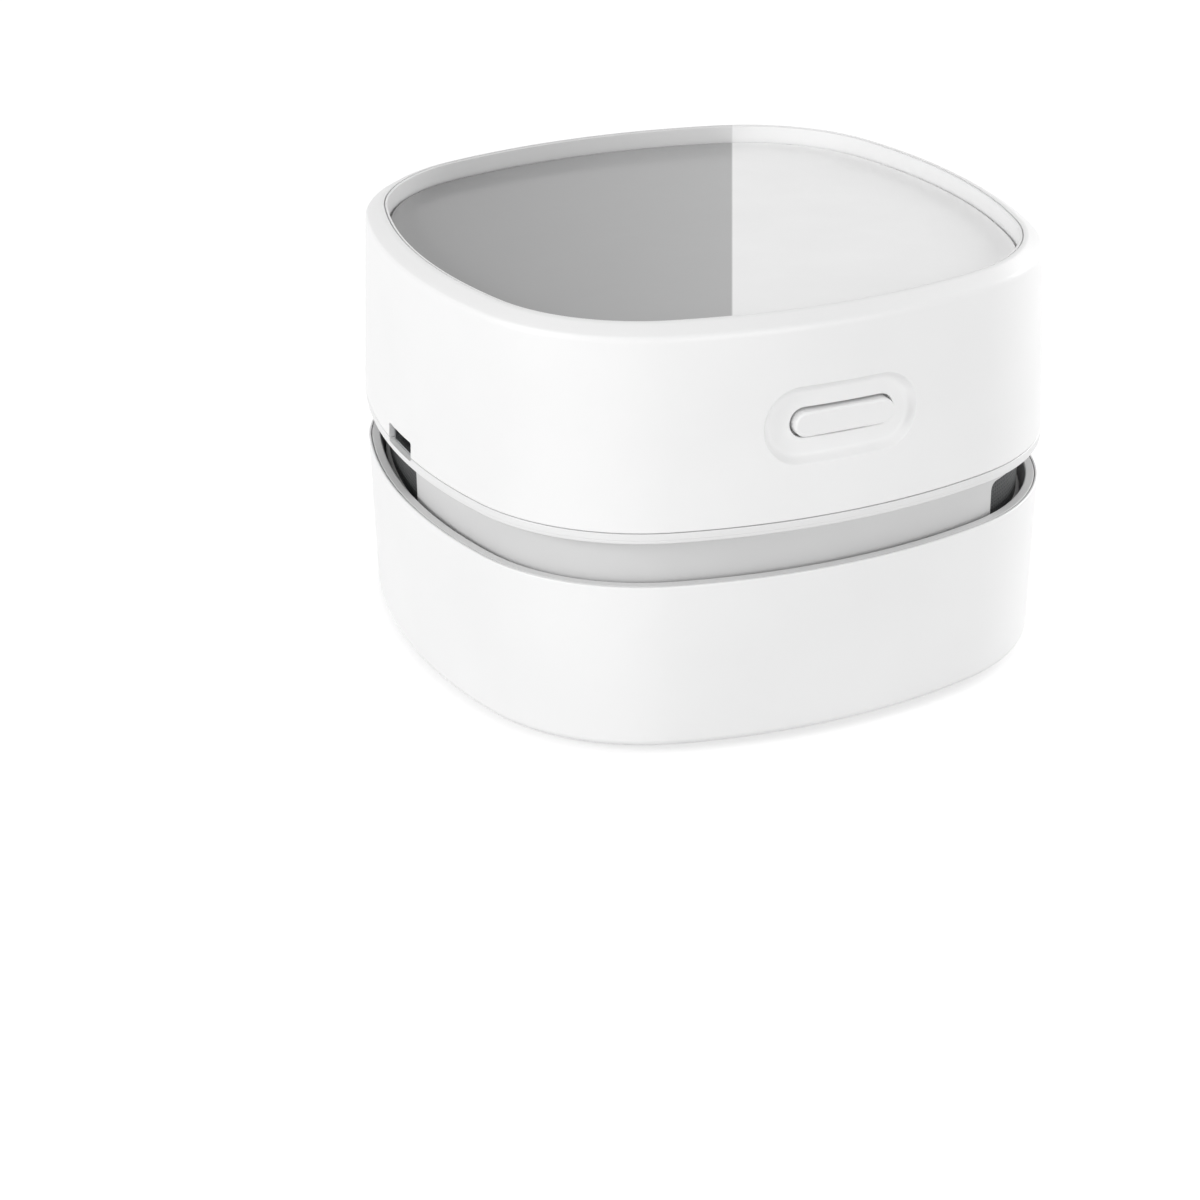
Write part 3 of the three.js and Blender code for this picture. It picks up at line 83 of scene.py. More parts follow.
# Outline: a rounded square whose sides bow outwards
SIDE_RADIUS = 78.6 * mm
CORNER_RADIUS = 26.1 * mm
SIDE_STEPS = 32
CORNER_STEPS = 32
QUARTER_STEPS = SIDE_STEPS + CORNER_STEPS
AROUND = 4 * QUARTER_STEPS
LEAST_HALF = 20.0 * mm
SIDE_CENTRE = SIDE_RADIUS - BODY_HALF
ARC_GAP = SIDE_RADIUS - CORNER_RADIUS
CORNER_CENTRE = (math.sqrt(2 * ARC_GAP ** 2 - SIDE_CENTRE ** 2) - SIDE_CENTRE) / 2
JUNCTION = math.atan2(CORNER_CENTRE, CORNER_CENTRE + SIDE_CENTRE)


def outline_point(step, half):
    """Place on the outline with this half width; steps run anticlockwise from the middle of the +X side."""
    if half < LEAST_HALF:
        x, y = outline_point(step, LEAST_HALF)
        return x * half / LEAST_HALF, y * half / LEAST_HALF
    step = step % AROUND
    quarter = math.floor((step + SIDE_STEPS / 2) / QUARTER_STEPS)
    local = step - quarter * QUARTER_STEPS
    growth = half - BODY_HALF
    if local <= SIDE_STEPS / 2:
        angle = JUNCTION * local / (SIDE_STEPS / 2)
        x = (SIDE_RADIUS + growth) * math.cos(angle) - SIDE_CENTRE
        y = (SIDE_RADIUS + growth) * math.sin(angle)
    else:
        share = (local - SIDE_STEPS / 2) / CORNER_STEPS
        angle = JUNCTION + (math.pi / 2 - 2 * JUNCTION) * share
        x = CORNER_CENTRE + (CORNER_RADIUS + growth) * math.cos(angle)
        y = CORNER_CENTRE + (CORNER_RADIUS + growth) * math.sin(angle)
    turn = Matrix.Rotation(quarter * math.pi / 2, 2) @ Vector((x, y))
    return turn.x, turn.y


def side_reach(half, along):
    """Distance from the axis to a side of the outline, at a place along that side."""
    reach = SIDE_RADIUS + half - BODY_HALF
    return math.sqrt(reach ** 2 - along ** 2) - SIDE_CENTRE


# Finishes. A grain's scale is in cycles to the metre.

WHITE = (0.91, 0.91, 0.91)
RING_WHITE = (0.83, 0.83, 0.83)
# The greys of the recess and of its wall are painted shade; the pale tones are their own colour.
RECESS_WALL_PAINTED_SHADE = (0.71, 0.71, 0.71)
RECESS_WALL_PALE = (0.87, 0.87, 0.87)
RECESS_PAINTED_SHADE = (0.42, 0.42, 0.422)
RECESS_PALE = (0.97, 0.97, 0.97)
NOISE_LOW, NOISE_HIGH = 0.3, 0.7
TONE_DRIFT = 45.0
SMUDGE = 160.0
PANEL_HAZE = 90.0
PANEL_RIPPLE = 900.0
METAL_LINE = 0.15 * mm

# The recess in the crown is grey with painted shade on one side of an upright plane, on the panel and on its
# wall, and near white on the other.
# The painted shade deepens away from the line between them, darkest at the far edge of the recess.
SHADE_EDGE_ACROSS = Vector((0.8982, -0.4396, 0.0))
SHADE_EDGE_PLACE = 4.64 * mm
SHADE_EDGE_BLUR = 0.1 * mm
SHADE_FALLOFF_REACH = 46.0 * mm
PAINTED_SHADE_AT_EDGE = 0.66
PAINTED_SHADE_AT_SPLIT = 1.07


def new_finish(name):
    """A finish with its shader, and the place on the object as an output."""
    finish = bpy.data.materials.new(name)
    finish.use_nodes = True
    nodes = finish.node_tree.nodes
    return finish, nodes["Principled BSDF"], nodes.new("ShaderNodeTexCoord").outputs["Object"]


def new_node(kind, source, entry):
    """A node in the source's tree, with the source joined to one of its sockets."""
    node = source.id_data.nodes.new(kind)
    join(source, node.inputs[entry])
    return node


def join(source, socket):
    source.id_data.links.new(source, socket)


def grain(place, scale, detail=3.0, rough=0.5):
    noise = new_node("ShaderNodeTexNoise", place, "Vector")
    noise.inputs["Scale"].default_value = scale
    noise.inputs["Detail"].default_value = detail
    noise.inputs["Roughness"].default_value = rough
    return noise.outputs["Fac"]


def remap(value, start, end, low=0.0, high=1.0):
    """Takes the range from start to end over to the one from low to high."""
    ranged = new_node("ShaderNodeMapRange", value, "Value")
    for socket, number in (("From Min", start), ("From Max", end), ("To Min", low), ("To Max", high)):
        ranged.inputs[socket].default_value = number
    return ranged.outputs["Result"]


def spread(noise, low, high):
    """Spreads the middle of a noise from low to high."""
    return remap(noise, NOISE_LOW, NOISE_HIGH, low, high)


def between(share, first, second):
    """A colour between two others, each of them plain or another node's output."""
    mix = share.id_data.nodes.new("ShaderNodeMix")
    mix.data_type = "RGBA"
    join(share, mix.inputs["Factor"])
    for socket, colour in (("A", first), ("B", second)):
        if isinstance(colour, bpy.types.NodeSocket):
            join(colour, mix.inputs[socket])
        else:
            mix.inputs[socket].default_value = (*colour, 1)
    return mix.outputs["Result"]


def paint(shader, share, first, second):
    """Colours the surface from first to second."""
    join(between(share, first, second), shader.inputs["Base Color"])


def polish(shader, noise, low, high):
    """Lets the roughness vary from low to high."""
    join(spread(noise, low, high), shader.inputs["Roughness"])


def raise_surface(shader, height, depth):
    bump = new_node("ShaderNodeBump", height, "Height")
    bump.inputs["Distance"].default_value = depth
    join(bump.outputs["Normal"], shader.inputs["Normal"])


def moulded(name, tone, roughness, grain_size=0.25 * mm, grain_depth=0.004 * mm, shade=0.97):
    """Injection moulded plastic: a fine spark grain, slow drift of tone and of gloss."""
    finish, shader, place = new_finish(name)
    drift = spread(grain(place, TONE_DRIFT, 2.0), 0, 1)
    paint(shader, drift, [c * shade for c in tone], tone)
    polish(shader, grain(place, SMUDGE, 4.0), roughness - 0.05, roughness + 0.05)
    raise_surface(shader, grain(place, 1 / grain_size, 2.0), grain_depth)
    return finish


def metal(name, tone, roughness, brushed):
    """Metal with fine lines along the axis in which brushed is small."""
    finish, shader, place = new_finish(name)
    shader.inputs["Metallic"].default_value = 1.0
    stretch = new_node("ShaderNodeMapping", place, "Vector")
    stretch.inputs["Scale"].default_value = brushed
    lines = grain(stretch.outputs["Vector"], 1 / METAL_LINE, 3.0)
    paint(shader, lines, [c * 0.86 for c in tone], tone)
    polish(shader, lines, roughness - 0.08, roughness + 0.08)
    raise_surface(shader, lines, 0.004 * mm)
    return finish


def place_across(place):
    """How far a place lies across the recess, square to the edge of its painted shade."""
    across = new_node("ShaderNodeVectorMath", place, 0)
    across.operation = "DOT_PRODUCT"
    across.inputs[1].default_value = SHADE_EDGE_ACROSS
    return across.outputs["Value"]


def unshaded_share(place):
    """0 on the side of the recess with painted shade and 1 on the pale side."""
    return remap(place_across(place), SHADE_EDGE_PLACE - SHADE_EDGE_BLUR, SHADE_EDGE_PLACE + SHADE_EDGE_BLUR)


def gloss_panel_finish():
    """Glossy plastic with a faint haze, pale on one side of the recess and grey with painted shade on the
    other, the shade deepening towards the far edge.
    """
    finish, shader, place = new_finish("panel_gloss_painted_shade")
    share = unshaded_share(place)
    haze = grain(place, PANEL_HAZE, 3.0)
    tint = finish.node_tree.nodes.new("ShaderNodeMix")
    tint.data_type = "RGBA"
    tint.blend_type = "MULTIPLY"
    tint.inputs["Factor"].default_value = 0.5
    # Painted shade: the panel is grey on one side of the upright plane and pale on the other.
    join(between(share, RECESS_PAINTED_SHADE, RECESS_PALE), tint.inputs["A"])
    join(between(spread(haze, 0, 1), (0.95, 0.95, 0.95), (1, 1, 1)), tint.inputs["B"])
    # Painted shade: the grey darkens away from the shade's edge towards the far side of the recess.
    shaded_grey = new_node("ShaderNodeVectorMath", tint.outputs["Result"], 0)
    shaded_grey.operation = "SCALE"
    shade_falloff = remap(place_across(place), SHADE_EDGE_PLACE - SHADE_FALLOFF_REACH, SHADE_EDGE_PLACE, PAINTED_SHADE_AT_EDGE, PAINTED_SHADE_AT_SPLIT)
    join(shade_falloff, shaded_grey.inputs["Scale"])
    paint(shader, share, shaded_grey.outputs["Vector"], tint.outputs["Result"])
    polish(shader, haze, 0.16, 0.24)
    shader.inputs["Specular IOR Level"].default_value = 0.22
    raise_surface(shader, grain(place, PANEL_RIPPLE, 2.0), 0.0006 * mm)
    return finish


def shell_finish():
    """White moulded plastic, with the recess wall grey with painted shade on the same side as the panel and
    pale on the other.
    """
    finish = moulded("shell_white_moulded", WHITE, 0.42)
    nodes = finish.node_tree.nodes
    shader = nodes["Principled BSDF"]
    white = shader.inputs["Base Color"].links[0].from_socket
    place = nodes.new("ShaderNodeTexCoord").outputs["Object"]
    # Painted shade: the recess wall is grey on the same side of the plane as the panel.
    wall = between(unshaded_share(place), RECESS_WALL_PAINTED_SHADE, RECESS_WALL_PALE)
    attribute = nodes.new("ShaderNodeAttribute")
    attribute.attribute_name = "recess"
    paint(shader, attribute.outputs["Fac"], white, wall)
    return finish


def winding_finish():
    """Enamelled copper wire wound round an iron core."""
    finish, shader, place = new_finish("armature_copper_and_iron")
    wave = new_node("ShaderNodeTexWave", place, "Vector")
    wave.bands_direction = "Z"
    wave.inputs["Scale"].default_value = 700.0
    wave.inputs["Distortion"].default_value = 1.5
    wires = wave.outputs["Fac"]
    paint(shader, wires, (0.20, 0.075, 0.03), (0.62, 0.27, 0.12))
    shader.inputs["Metallic"].default_value = 0.8
    polish(shader, wires, 0.35, 0.5)
    raise_surface(shader, wires, 0.05 * mm)
    return finish


def board_finish():
    """Green solder mask over etched copper."""
    finish, shader, place = new_finish("board_green_mask")
    tracks = new_node("ShaderNodeTexBrick", place, "Vector")
    tracks.inputs["Scale"].default_value = 260.0
    tracks.inputs["Mortar Size"].default_value = 0.05
    tracks.inputs["Color1"].default_value = (0.012, 0.085, 0.035, 1)
    tracks.inputs["Color2"].default_value = (0.016, 0.11, 0.045, 1)
    tracks.inputs["Mortar"].default_value = (0.05, 0.21, 0.09, 1)
    join(tracks.outputs["Color"], shader.inputs["Base Color"])
    polish(shader, grain(place, 300.0), 0.28, 0.42)
    raise_surface(shader, tracks.outputs["Fac"], 0.02 * mm)
    return finish


def paper_finish():
    """Pressed filter fibre."""
    finish, shader, place = new_finish("filter_fibre_paper")
    fibres = grain(place, 1500.0, 6.0, 0.7)
    paint(shader, fibres, (0.70, 0.70, 0.66), (0.88, 0.88, 0.85))
    shader.inputs["Roughness"].default_value = 0.95
    shader.inputs["Sheen Weight"].default_value = 0.25
    raise_surface(shader, fibres, 0.08 * mm)
    return finish


def wrap_finish():
    """Shrink wrap with faint creases."""
    finish, shader, place = new_finish("pack_blue_shrink_wrap")
    creases = grain(place, 220.0, 5.0, 0.6)
    paint(shader, creases, (0.02, 0.09, 0.30), (0.035, 0.13, 0.42))
    polish(shader, creases, 0.22, 0.38)
    raise_surface(shader, creases, 0.08 * mm)
    return finish


def bristle_finish():
    """Nylon strands, paler at their tips, which point down."""
    finish, shader, place = new_finish("brush_nylon_strands")
    height = new_node("ShaderNodeSeparateXYZ", place, "Vector").outputs["Z"]
    paint(shader, remap(height, 0.3 * mm, 3.0 * mm), (0.13, 0.135, 0.14), (0.04, 0.042, 0.045))
    polish(shader, grain(place, 2500.0), 0.42, 0.6)
    return finish


SHELL_WHITE = shell_finish()
CUP_WHITE = moulded("cup_white_moulded", WHITE, 0.42)
RING_PALE = moulded("ring_pale_moulded", RING_WHITE, 0.40)
NECK_GREY = moulded("neck_grey_moulded", (0.66, 0.66, 0.66), 0.45)
LINER_GREY = moulded("liner_grey_moulded", (0.76, 0.76, 0.76), 0.45)
INNER_GREY = moulded("inner_grey_moulded", (0.50, 0.51, 0.51), 0.5)
BUTTON_WHITE = moulded("button_white_moulded", WHITE, 0.35)
PANEL_GLOSS = gloss_panel_finish()
MESH_DARK = moulded("exhaust_mesh_dark", (0.052, 0.054, 0.055), 0.6, 0.12 * mm, 0.01 * mm, 0.8)
RUBBER = moulded("foot_black_rubber", (0.022, 0.022, 0.023), 0.8, 0.18 * mm, 0.02 * mm, 0.8)
SEAL_RUBBER = moulded("seal_soft_rubber", (0.46, 0.47, 0.47), 0.7, 0.2 * mm, 0.01 * mm, 0.92)
BRISTLES = bristle_finish()
PAPER = paper_finish()
STEEL = metal("steel_plated", (0.60, 0.61, 0.62), 0.32, (1, 1, 0.05))
BRASS = metal("brass_drawn", (0.72, 0.53, 0.24), 0.3, (1, 1, 0.1))
WINDING = winding_finish()
FERRITE = moulded("magnet_ferrite", (0.035, 0.035, 0.038), 0.75, 0.1 * mm, 0.02 * mm, 0.8)
PACK_WRAP = wrap_finish()
BOARD = board_finish()
BLACK = moulded("inner_black_moulded", (0.016, 0.016, 0.017), 0.5, 0.2 * mm, 0.01 * mm, 0.8)
FAN_PALE = moulded("fan_pale_moulded", (0.72, 0.73, 0.74), 0.45)

CORNERS = "front_left", "front_right", "back_left", "back_right"

# Inner parts that keep the frame's own shapes
NODE_FINISHES = (
    (STEEL, ("motor_can", "motor_shaft", "usb_shell", "motor_screw_a", "motor_screw_b", "cover_screw_a",
             "cover_screw_b", *(f"chassis_screw_{corner}" for corner in CORNERS))),
    (BRASS, ("motor_bush", "motor_terminal_a", "motor_terminal_b")),
    (BLACK, ("motor_end_cap", "battery_cradle", "charge_chip", "switch_body", "switch_plunger",
             "usb_tongue")),
    (FERRITE, ("motor_magnet_a", "motor_magnet_b")),
    (BOARD, ("main_board", "switch_board")),
    (WINDING, ("armature",)),
    (FAN_PALE, ("impeller",)),
    (INNER_GREY, ("fan_cover",)),
    (PACK_WRAP, ("battery_cell",)),
)
for finish, node_names in NODE_FINISHES:
    for node_name in node_names:
        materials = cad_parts[node_name].data.materials
        materials.clear()
        materials.append(finish)


# Making pieces

MERGE_REACH = 0.002 * mm


def mesh_from(bm, name):
    mesh = bpy.data.meshes.new(name)
    bm.to_mesh(mesh)
    bm.free()
    return mesh


def add_object(name, data):
    made = bpy.data.objects.new(name, data)
    bpy.context.scene.collection.objects.link(made)
    return made


def even_shading(piece):
    """Lets the broad faces set the shading, so that small rounded edges don't tint them."""
    weighted = piece.modifiers.new("even_shading", "WEIGHTED_NORMAL")
    weighted.mode = "FACE_AREA"
    weighted.keep_sharp = True


def thicken(piece, thickness):
    """Gives a sheet its thickness, on the side that faces the axis or the floor."""
    wall = piece.modifiers.new("wall", "SOLIDIFY")
    wall.thickness = thickness
    wall.offset = -1


def add_piece(bm, name, finish, body, nodes=(), crease=32):
    bmesh.ops.remove_doubles(bm, verts=bm.verts, dist=MERGE_REACH)
    bmesh.ops.recalc_face_normals(bm, faces=bm.faces)
    mesh = mesh_from(bm, name)
    mesh.materials.append(finish)
    mesh.shade_smooth()
    mesh.set_sharp_from_angle(angle=math.radians(crease))
    piece = add_object(name, mesh)
    even_shading(piece)
    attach(piece, body)
    if nodes:
        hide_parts(*nodes)
    return piece


def round_off(bm, geom, radius, segments, affect="VERTICES"):
    bmesh.ops.bevel(bm, geom=geom, offset=radius, offset_type="OFFSET", affect=affect, segments=segments,
                    profile=0.5, material=-1)


def turned(profile, looped=True, round_below=0.0, square=True, steps=AROUND):
    """A profile of (half width, level, edge radius) carried round the outline, or round a circle."""
    bm = bmesh.new()
    corners = [bm.verts.new((half, 0, level)) for half, level, radius in profile]
    pairs = list(zip(corners, corners[1:]))
    if looped:
        pairs.append((corners[-1], corners[0]))
    for pair in pairs:
        bm.edges.new(pair)
    for corner, (half, level, radius) in zip(corners, profile):
        if radius > 0:
            round_off(bm, [corner], radius, 5)
    bmesh.ops.spin(bm, geom=bm.verts[:] + bm.edges[:], cent=(0, 0, 0), axis=(0, 0, 1), dvec=(0, 0, 0),
                   angle=2 * math.pi, steps=steps, use_merge=True, use_duplicate=False)
    bmesh.ops.remove_doubles(bm, verts=bm.verts, dist=MERGE_REACH)
    if square:
        for vert in bm.verts:
            half = math.hypot(vert.co.x, vert.co.y)
            if half > round_below:
                step = math.atan2(vert.co.y, vert.co.x) / (2 * math.pi) * AROUND
                vert.co.x, vert.co.y = outline_point(round(step), half)
    return bm


def merge_in(bm, other):
    """Adds another bmesh's faces to this one."""
    mesh = mesh_from(other, "merged")
    bm.from_mesh(mesh)
    bpy.data.meshes.remove(mesh)


def ring_part(profile, name, finish, body, slot, nodes, **shape):
    return add_piece(turned(profile, **shape), name, finish, body, nodes)


# Cup, liner and inlet

CUP_FLOOR = 1.6 * mm
CUP_WALL = 0.9 * mm
CUP_FOOT_HALF = BODY_HALF - 0.4 * mm
CUP_FOOT_ROUND = 1.2 * mm
NOZZLE_HALF = 20.0 * mm
FIT = 0.1 * mm
LIP_OUTER = CUP_HALF - CUP_WALL / 2
LIP_WIDTH = 1.2 * mm
LIP_HEIGHT = 1.0 * mm
CUP_INNER = CUP_HALF - CUP_WALL
CUP_INSIDE = CUP_LOW + CUP_FLOOR
LIP_SEAT = CUP_HIGH - LIP_HEIGHT
LIP_INNER = LIP_OUTER - LIP_WIDTH
LEDGE_WIDTH = 3.1 * mm
ROOM_HALF = LIP_INNER - LEDGE_WIDTH
LINER_WALL = 0.8 * mm
LINER_FLOOR = 1.0 * mm
HUB_OUTER = half_width("inlet_hub")
HUB_WALL = 1.0 * mm

ring_part([
    (NOZZLE_HALF + FIT, CUP_LOW, 0.15 * mm),
    (CUP_FOOT_HALF, CUP_LOW, CUP_FOOT_ROUND),
    (CUP_HALF, CUP_HIGH, 0.18 * mm),
    (LIP_OUTER + FIT, CUP_HIGH, 0.08 * mm),
    (LIP_OUTER + FIT, LIP_SEAT, 0),
    (CUP_INNER, LIP_SEAT, 0.1 * mm),
    (CUP_INNER, CUP_INSIDE, 0.3 * mm),
    (NOZZLE_HALF + FIT, CUP_INSIDE, 0.1 * mm),
], "cup_body", CUP_WHITE, "cup", "white_plastic", ["outer_cup"], round_below=NOZZLE_HALF + 2 * mm)
ring_part([
    (HUB_OUTER + FIT, LINER_LOW, 0.1 * mm),
    (ROOM_HALF + LINER_WALL, LINER_LOW, 1.0 * mm),
    (ROOM_HALF + LINER_WALL, SEAL_LOW - LINER_WALL, 0.3 * mm),
    (CUP_INNER - FIT, SEAL_LOW - LINER_WALL, 0.2 * mm),
    (CUP_INNER - FIT, LIP_SEAT, 0),
    (LIP_OUTER, LIP_SEAT, 0.08 * mm),
    (LIP_OUTER, CUP_HIGH, 0.1 * mm),
    (LIP_INNER, CUP_HIGH, 0.25 * mm),
    (LIP_INNER, SEAL_LOW, 0.3 * mm),
    (ROOM_HALF, SEAL_LOW, 0.4 * mm),
    (ROOM_HALF, LINER_LOW + LINER_FLOOR, 1.6 * mm),
    (HUB_OUTER + FIT, LINER_LOW + LINER_FLOOR, 0.1 * mm),
], "dust_cup_liner", LINER_GREY, "cup", "grey_plastic", ["dust_liner"], round_below=HUB_OUTER + 1 * mm)

# The hub has a chimney through which the dust rises

CHIMNEY_RADIUS = 9.0 * mm
CHIMNEY_WALL = 1.2 * mm
CHIMNEY_HEIGHT = 3.8 * mm
CHIMNEY_OUTER = CHIMNEY_RADIUS + CHIMNEY_WALL
HUB_SHELF = HUB_HIGH - CHIMNEY_HEIGHT
HUB_FLOOR = HUB_SHELF - LINER_FLOOR
ROUND_STEPS = 96
ring_part([
    (CHIMNEY_RADIUS, HUB_FLOOR, 0.1 * mm),
    (HUB_OUTER - HUB_WALL, HUB_FLOOR, 0.3 * mm),
    (HUB_OUTER - HUB_WALL, LINER_LOW, 0.1 * mm),
    (HUB_OUTER, LINER_LOW, 0.1 * mm),
    (HUB_OUTER, HUB_SHELF, 0.8 * mm),
    (CHIMNEY_OUTER, HUB_SHELF, 0.6 * mm),
    (CHIMNEY_OUTER, HUB_HIGH, 0.3 * mm),
    (CHIMNEY_RADIUS, HUB_HIGH, 0.3 * mm),
], "inlet_hub_moulding", LINER_GREY, "cup", "grey_plastic", ["inlet_hub"], square=False, steps=ROUND_STEPS)

SEAL_SETBACK = 0.3 * mm
SEAL_INNER = ROOM_HALF + SEAL_SETBACK
SEAL_OUTER = half_width("seal_ring")
ring_part([
    (SEAL_INNER, SEAL_LOW, 0.3 * mm),
    (SEAL_OUTER, SEAL_LOW, 0.3 * mm),
    (SEAL_OUTER, SEAL_HIGH, 0.4 * mm),
    (SEAL_INNER, SEAL_HIGH, 0.4 * mm),
], "soft_seal", SEAL_RUBBER, "cup", "seal", ["seal_ring"])

MOUTH_RADIUS = 11.5 * mm
BRUSH_RADIUS = 16.0 * mm
BRUSH_WIDTH = 2.6 * mm
GROOVE_INNER = BRUSH_RADIUS - BRUSH_WIDTH / 2 - FIT
GROOVE_OUTER = BRUSH_RADIUS + BRUSH_WIDTH / 2 + FIT
GROOVE_DEPTH = 3.2 * mm
GROOVE_HIGH = CUP_LOW + GROOVE_DEPTH
FLANGE_RADIUS = half_width("nozzle_holder")
FLANGE_HEIGHT = 1.0 * mm
FLANGE_HIGH = CUP_INSIDE + FLANGE_HEIGHT
ring_part([
    (MOUTH_RADIUS, CUP_LOW, 0.5 * mm),
    (GROOVE_INNER, CUP_LOW, 0.2 * mm),
    (GROOVE_INNER, GROOVE_HIGH, 0),
    (GROOVE_OUTER, GROOVE_HIGH, 0),
    (GROOVE_OUTER, CUP_LOW, 0.2 * mm),
    (NOZZLE_HALF, CUP_LOW, 0.3 * mm),
    (NOZZLE_HALF, CUP_INSIDE, 0),
    (FLANGE_RADIUS, CUP_INSIDE, 0.1 * mm),
    (FLANGE_RADIUS, FLANGE_HIGH, 0.1 * mm),
    (NOZZLE_HALF, FLANGE_HIGH, 0),
    (NOZZLE_HALF, NOZZLE_HIGH, 0.2 * mm),
    (CHIMNEY_RADIUS, NOZZLE_HIGH, 0.1 * mm),
    (CHIMNEY_RADIUS, NOZZLE_HIGH - 1.0 * mm, 0.4 * mm),
], "suction_nozzle", LINER_GREY, "cup", "grey_plastic", ["nozzle_holder"], square=False, steps=ROUND_STEPS)

CAP_THICKNESS = 1.0 * mm
CAP_LEGS = 3
LEG_FOOT = 0.56 * mm
LEG_TOP = 0.5 * mm
LEG_OVERLAP = 0.2 * mm


def deflector_cap():
    """A domed cap on legs above the chimney."""
    low, high = levels("inlet_deflector")
    cap_low = high - CAP_THICKNESS
    bm = turned(
        [(0, cap_low, 0), (CHIMNEY_OUTER, cap_low, 0.2 * mm), (CHIMNEY_OUTER, high, 0.6 * mm), (0, high, 0)],
        looped=False, square=False, steps=ROUND_STEPS,
    )
    reach = (CHIMNEY_RADIUS + CHIMNEY_OUTER) / 2
    for number in range(CAP_LEGS):
        angle = math.radians(90 + 360 / CAP_LEGS * number)
        place = Matrix.Translation((reach * math.cos(angle), reach * math.sin(angle), (low + cap_low) / 2))
        bmesh.ops.create_cone(bm, cap_ends=True, segments=16, radius1=LEG_FOOT, radius2=LEG_TOP,
                              depth=cap_low - low + LEG_OVERLAP, matrix=place)
    return bm


add_piece(deflector_cap(), "deflector_cap", LINER_GREY, "cup", ["inlet_deflector"])


def foot_pad(node):
    low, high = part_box(node)
    centre = (low + high) / 2
    radius = (high.x - low.x) / 2
    bm = turned([(0, low.z, 0), (radius, low.z, 0.3 * mm), (radius, high.z, 0), (0, high.z, 0)],
                looped=False, square=False, steps=48)
    bmesh.ops.translate(bm, verts=bm.verts, vec=(centre.x, centre.y, 0))
    return bm


for corner in CORNERS:
    add_piece(foot_pad(f"foot_{corner}"), f"foot_pad_{corner}", RUBBER, "cup",
              [f"foot_{corner}"])


# Brush strips: a backing in the groove and rows of strands

STRAND_ROWS = 5
STRANDS_ALONG = 52
STRAND_RADIUS = 0.16 * mm
STRAND_TIP = 0.11 * mm
STRAND_LOW = levels("brush_front")[0]
STRAND_ROOT = 0.2 * mm
STRAND_LIFT = 0.03 * mm
BACKING_THICKNESS = 0.8 * mm
BACKING_LOW = GROOVE_HIGH - BACKING_THICKNESS
STRIP_ARC = math.radians(90 * 0.84)
ROW_MARGIN = 0.9 * mm
ROW_STAGGER = 0.25
END_ARC = 0.05
BEARING_PLAY = 0.004
REACH_PLAY = 0.08 * mm
LENGTH_PLAY = 0.25 * mm
LEAN_PLAY = 0.05


def brush_strip(middle, seed):
    luck = random.Random(seed)
    bm = bmesh.new()
    low = bm.verts.new((BRUSH_RADIUS - BRUSH_WIDTH / 2, 0, BACKING_LOW))
    out = bm.verts.new((BRUSH_RADIUS + BRUSH_WIDTH / 2, 0, BACKING_LOW))
    out_high = bm.verts.new((BRUSH_RADIUS + BRUSH_WIDTH / 2, 0, GROOVE_HIGH))
    low_high = bm.verts.new((BRUSH_RADIUS - BRUSH_WIDTH / 2, 0, GROOVE_HIGH))
    end = bm.faces.new((low, out, out_high, low_high))
    bmesh.ops.rotate(bm, verts=bm.verts, cent=(0, 0, 0), matrix=Matrix.Rotation(-STRIP_ARC / 2, 3, "Z"))
    bmesh.ops.spin(bm, geom=[end], cent=(0, 0, 0), axis=(0, 0, 1), dvec=(0, 0, 0),
                   angle=STRIP_ARC, steps=24, use_merge=False, use_duplicate=False)
    length = BACKING_LOW - STRAND_LOW + STRAND_ROOT
    for row in range(STRAND_ROWS):
        radius = BRUSH_RADIUS + (row / (STRAND_ROWS - 1) - 0.5) * (BRUSH_WIDTH - ROW_MARGIN)
        for number in range(STRANDS_ALONG):
            share = (number + 0.5 + ROW_STAGGER * (row % 2)) / (STRANDS_ALONG + 0.5)
            angle = (share - 0.5) * (STRIP_ARC - END_ARC) + luck.uniform(-BEARING_PLAY, BEARING_PLAY)
            reach = radius + luck.uniform(-REACH_PLAY, REACH_PLAY)
            shorter = luck.uniform(0.0, LENGTH_PLAY)
            lean = Matrix.Rotation(luck.uniform(-LEAN_PLAY, LEAN_PLAY), 4, "X")
            lean = lean @ Matrix.Rotation(luck.uniform(-LEAN_PLAY, LEAN_PLAY), 4, "Y")
            place = Matrix.Translation((reach * math.cos(angle), reach * math.sin(angle),
                                        STRAND_LOW + shorter + length / 2 + STRAND_LIFT)) @ lean
            bmesh.ops.create_cone(bm, cap_ends=True, segments=5, radius1=STRAND_TIP, radius2=STRAND_RADIUS,
                                  depth=length - shorter, matrix=place)
    bmesh.ops.rotate(bm, verts=bm.verts, cent=(0, 0, 0), matrix=Matrix.Rotation(middle, 3, "Z"))
    return bm


for seed, (side, middle) in enumerate((("front", -90), ("right", 0), ("back", 90), ("left", 180))):
    add_piece(brush_strip(math.radians(middle), seed), f"strand_brush_{side}", BRISTLES, "cup",
              [f"brush_{side}"])

# Base ring with its plate

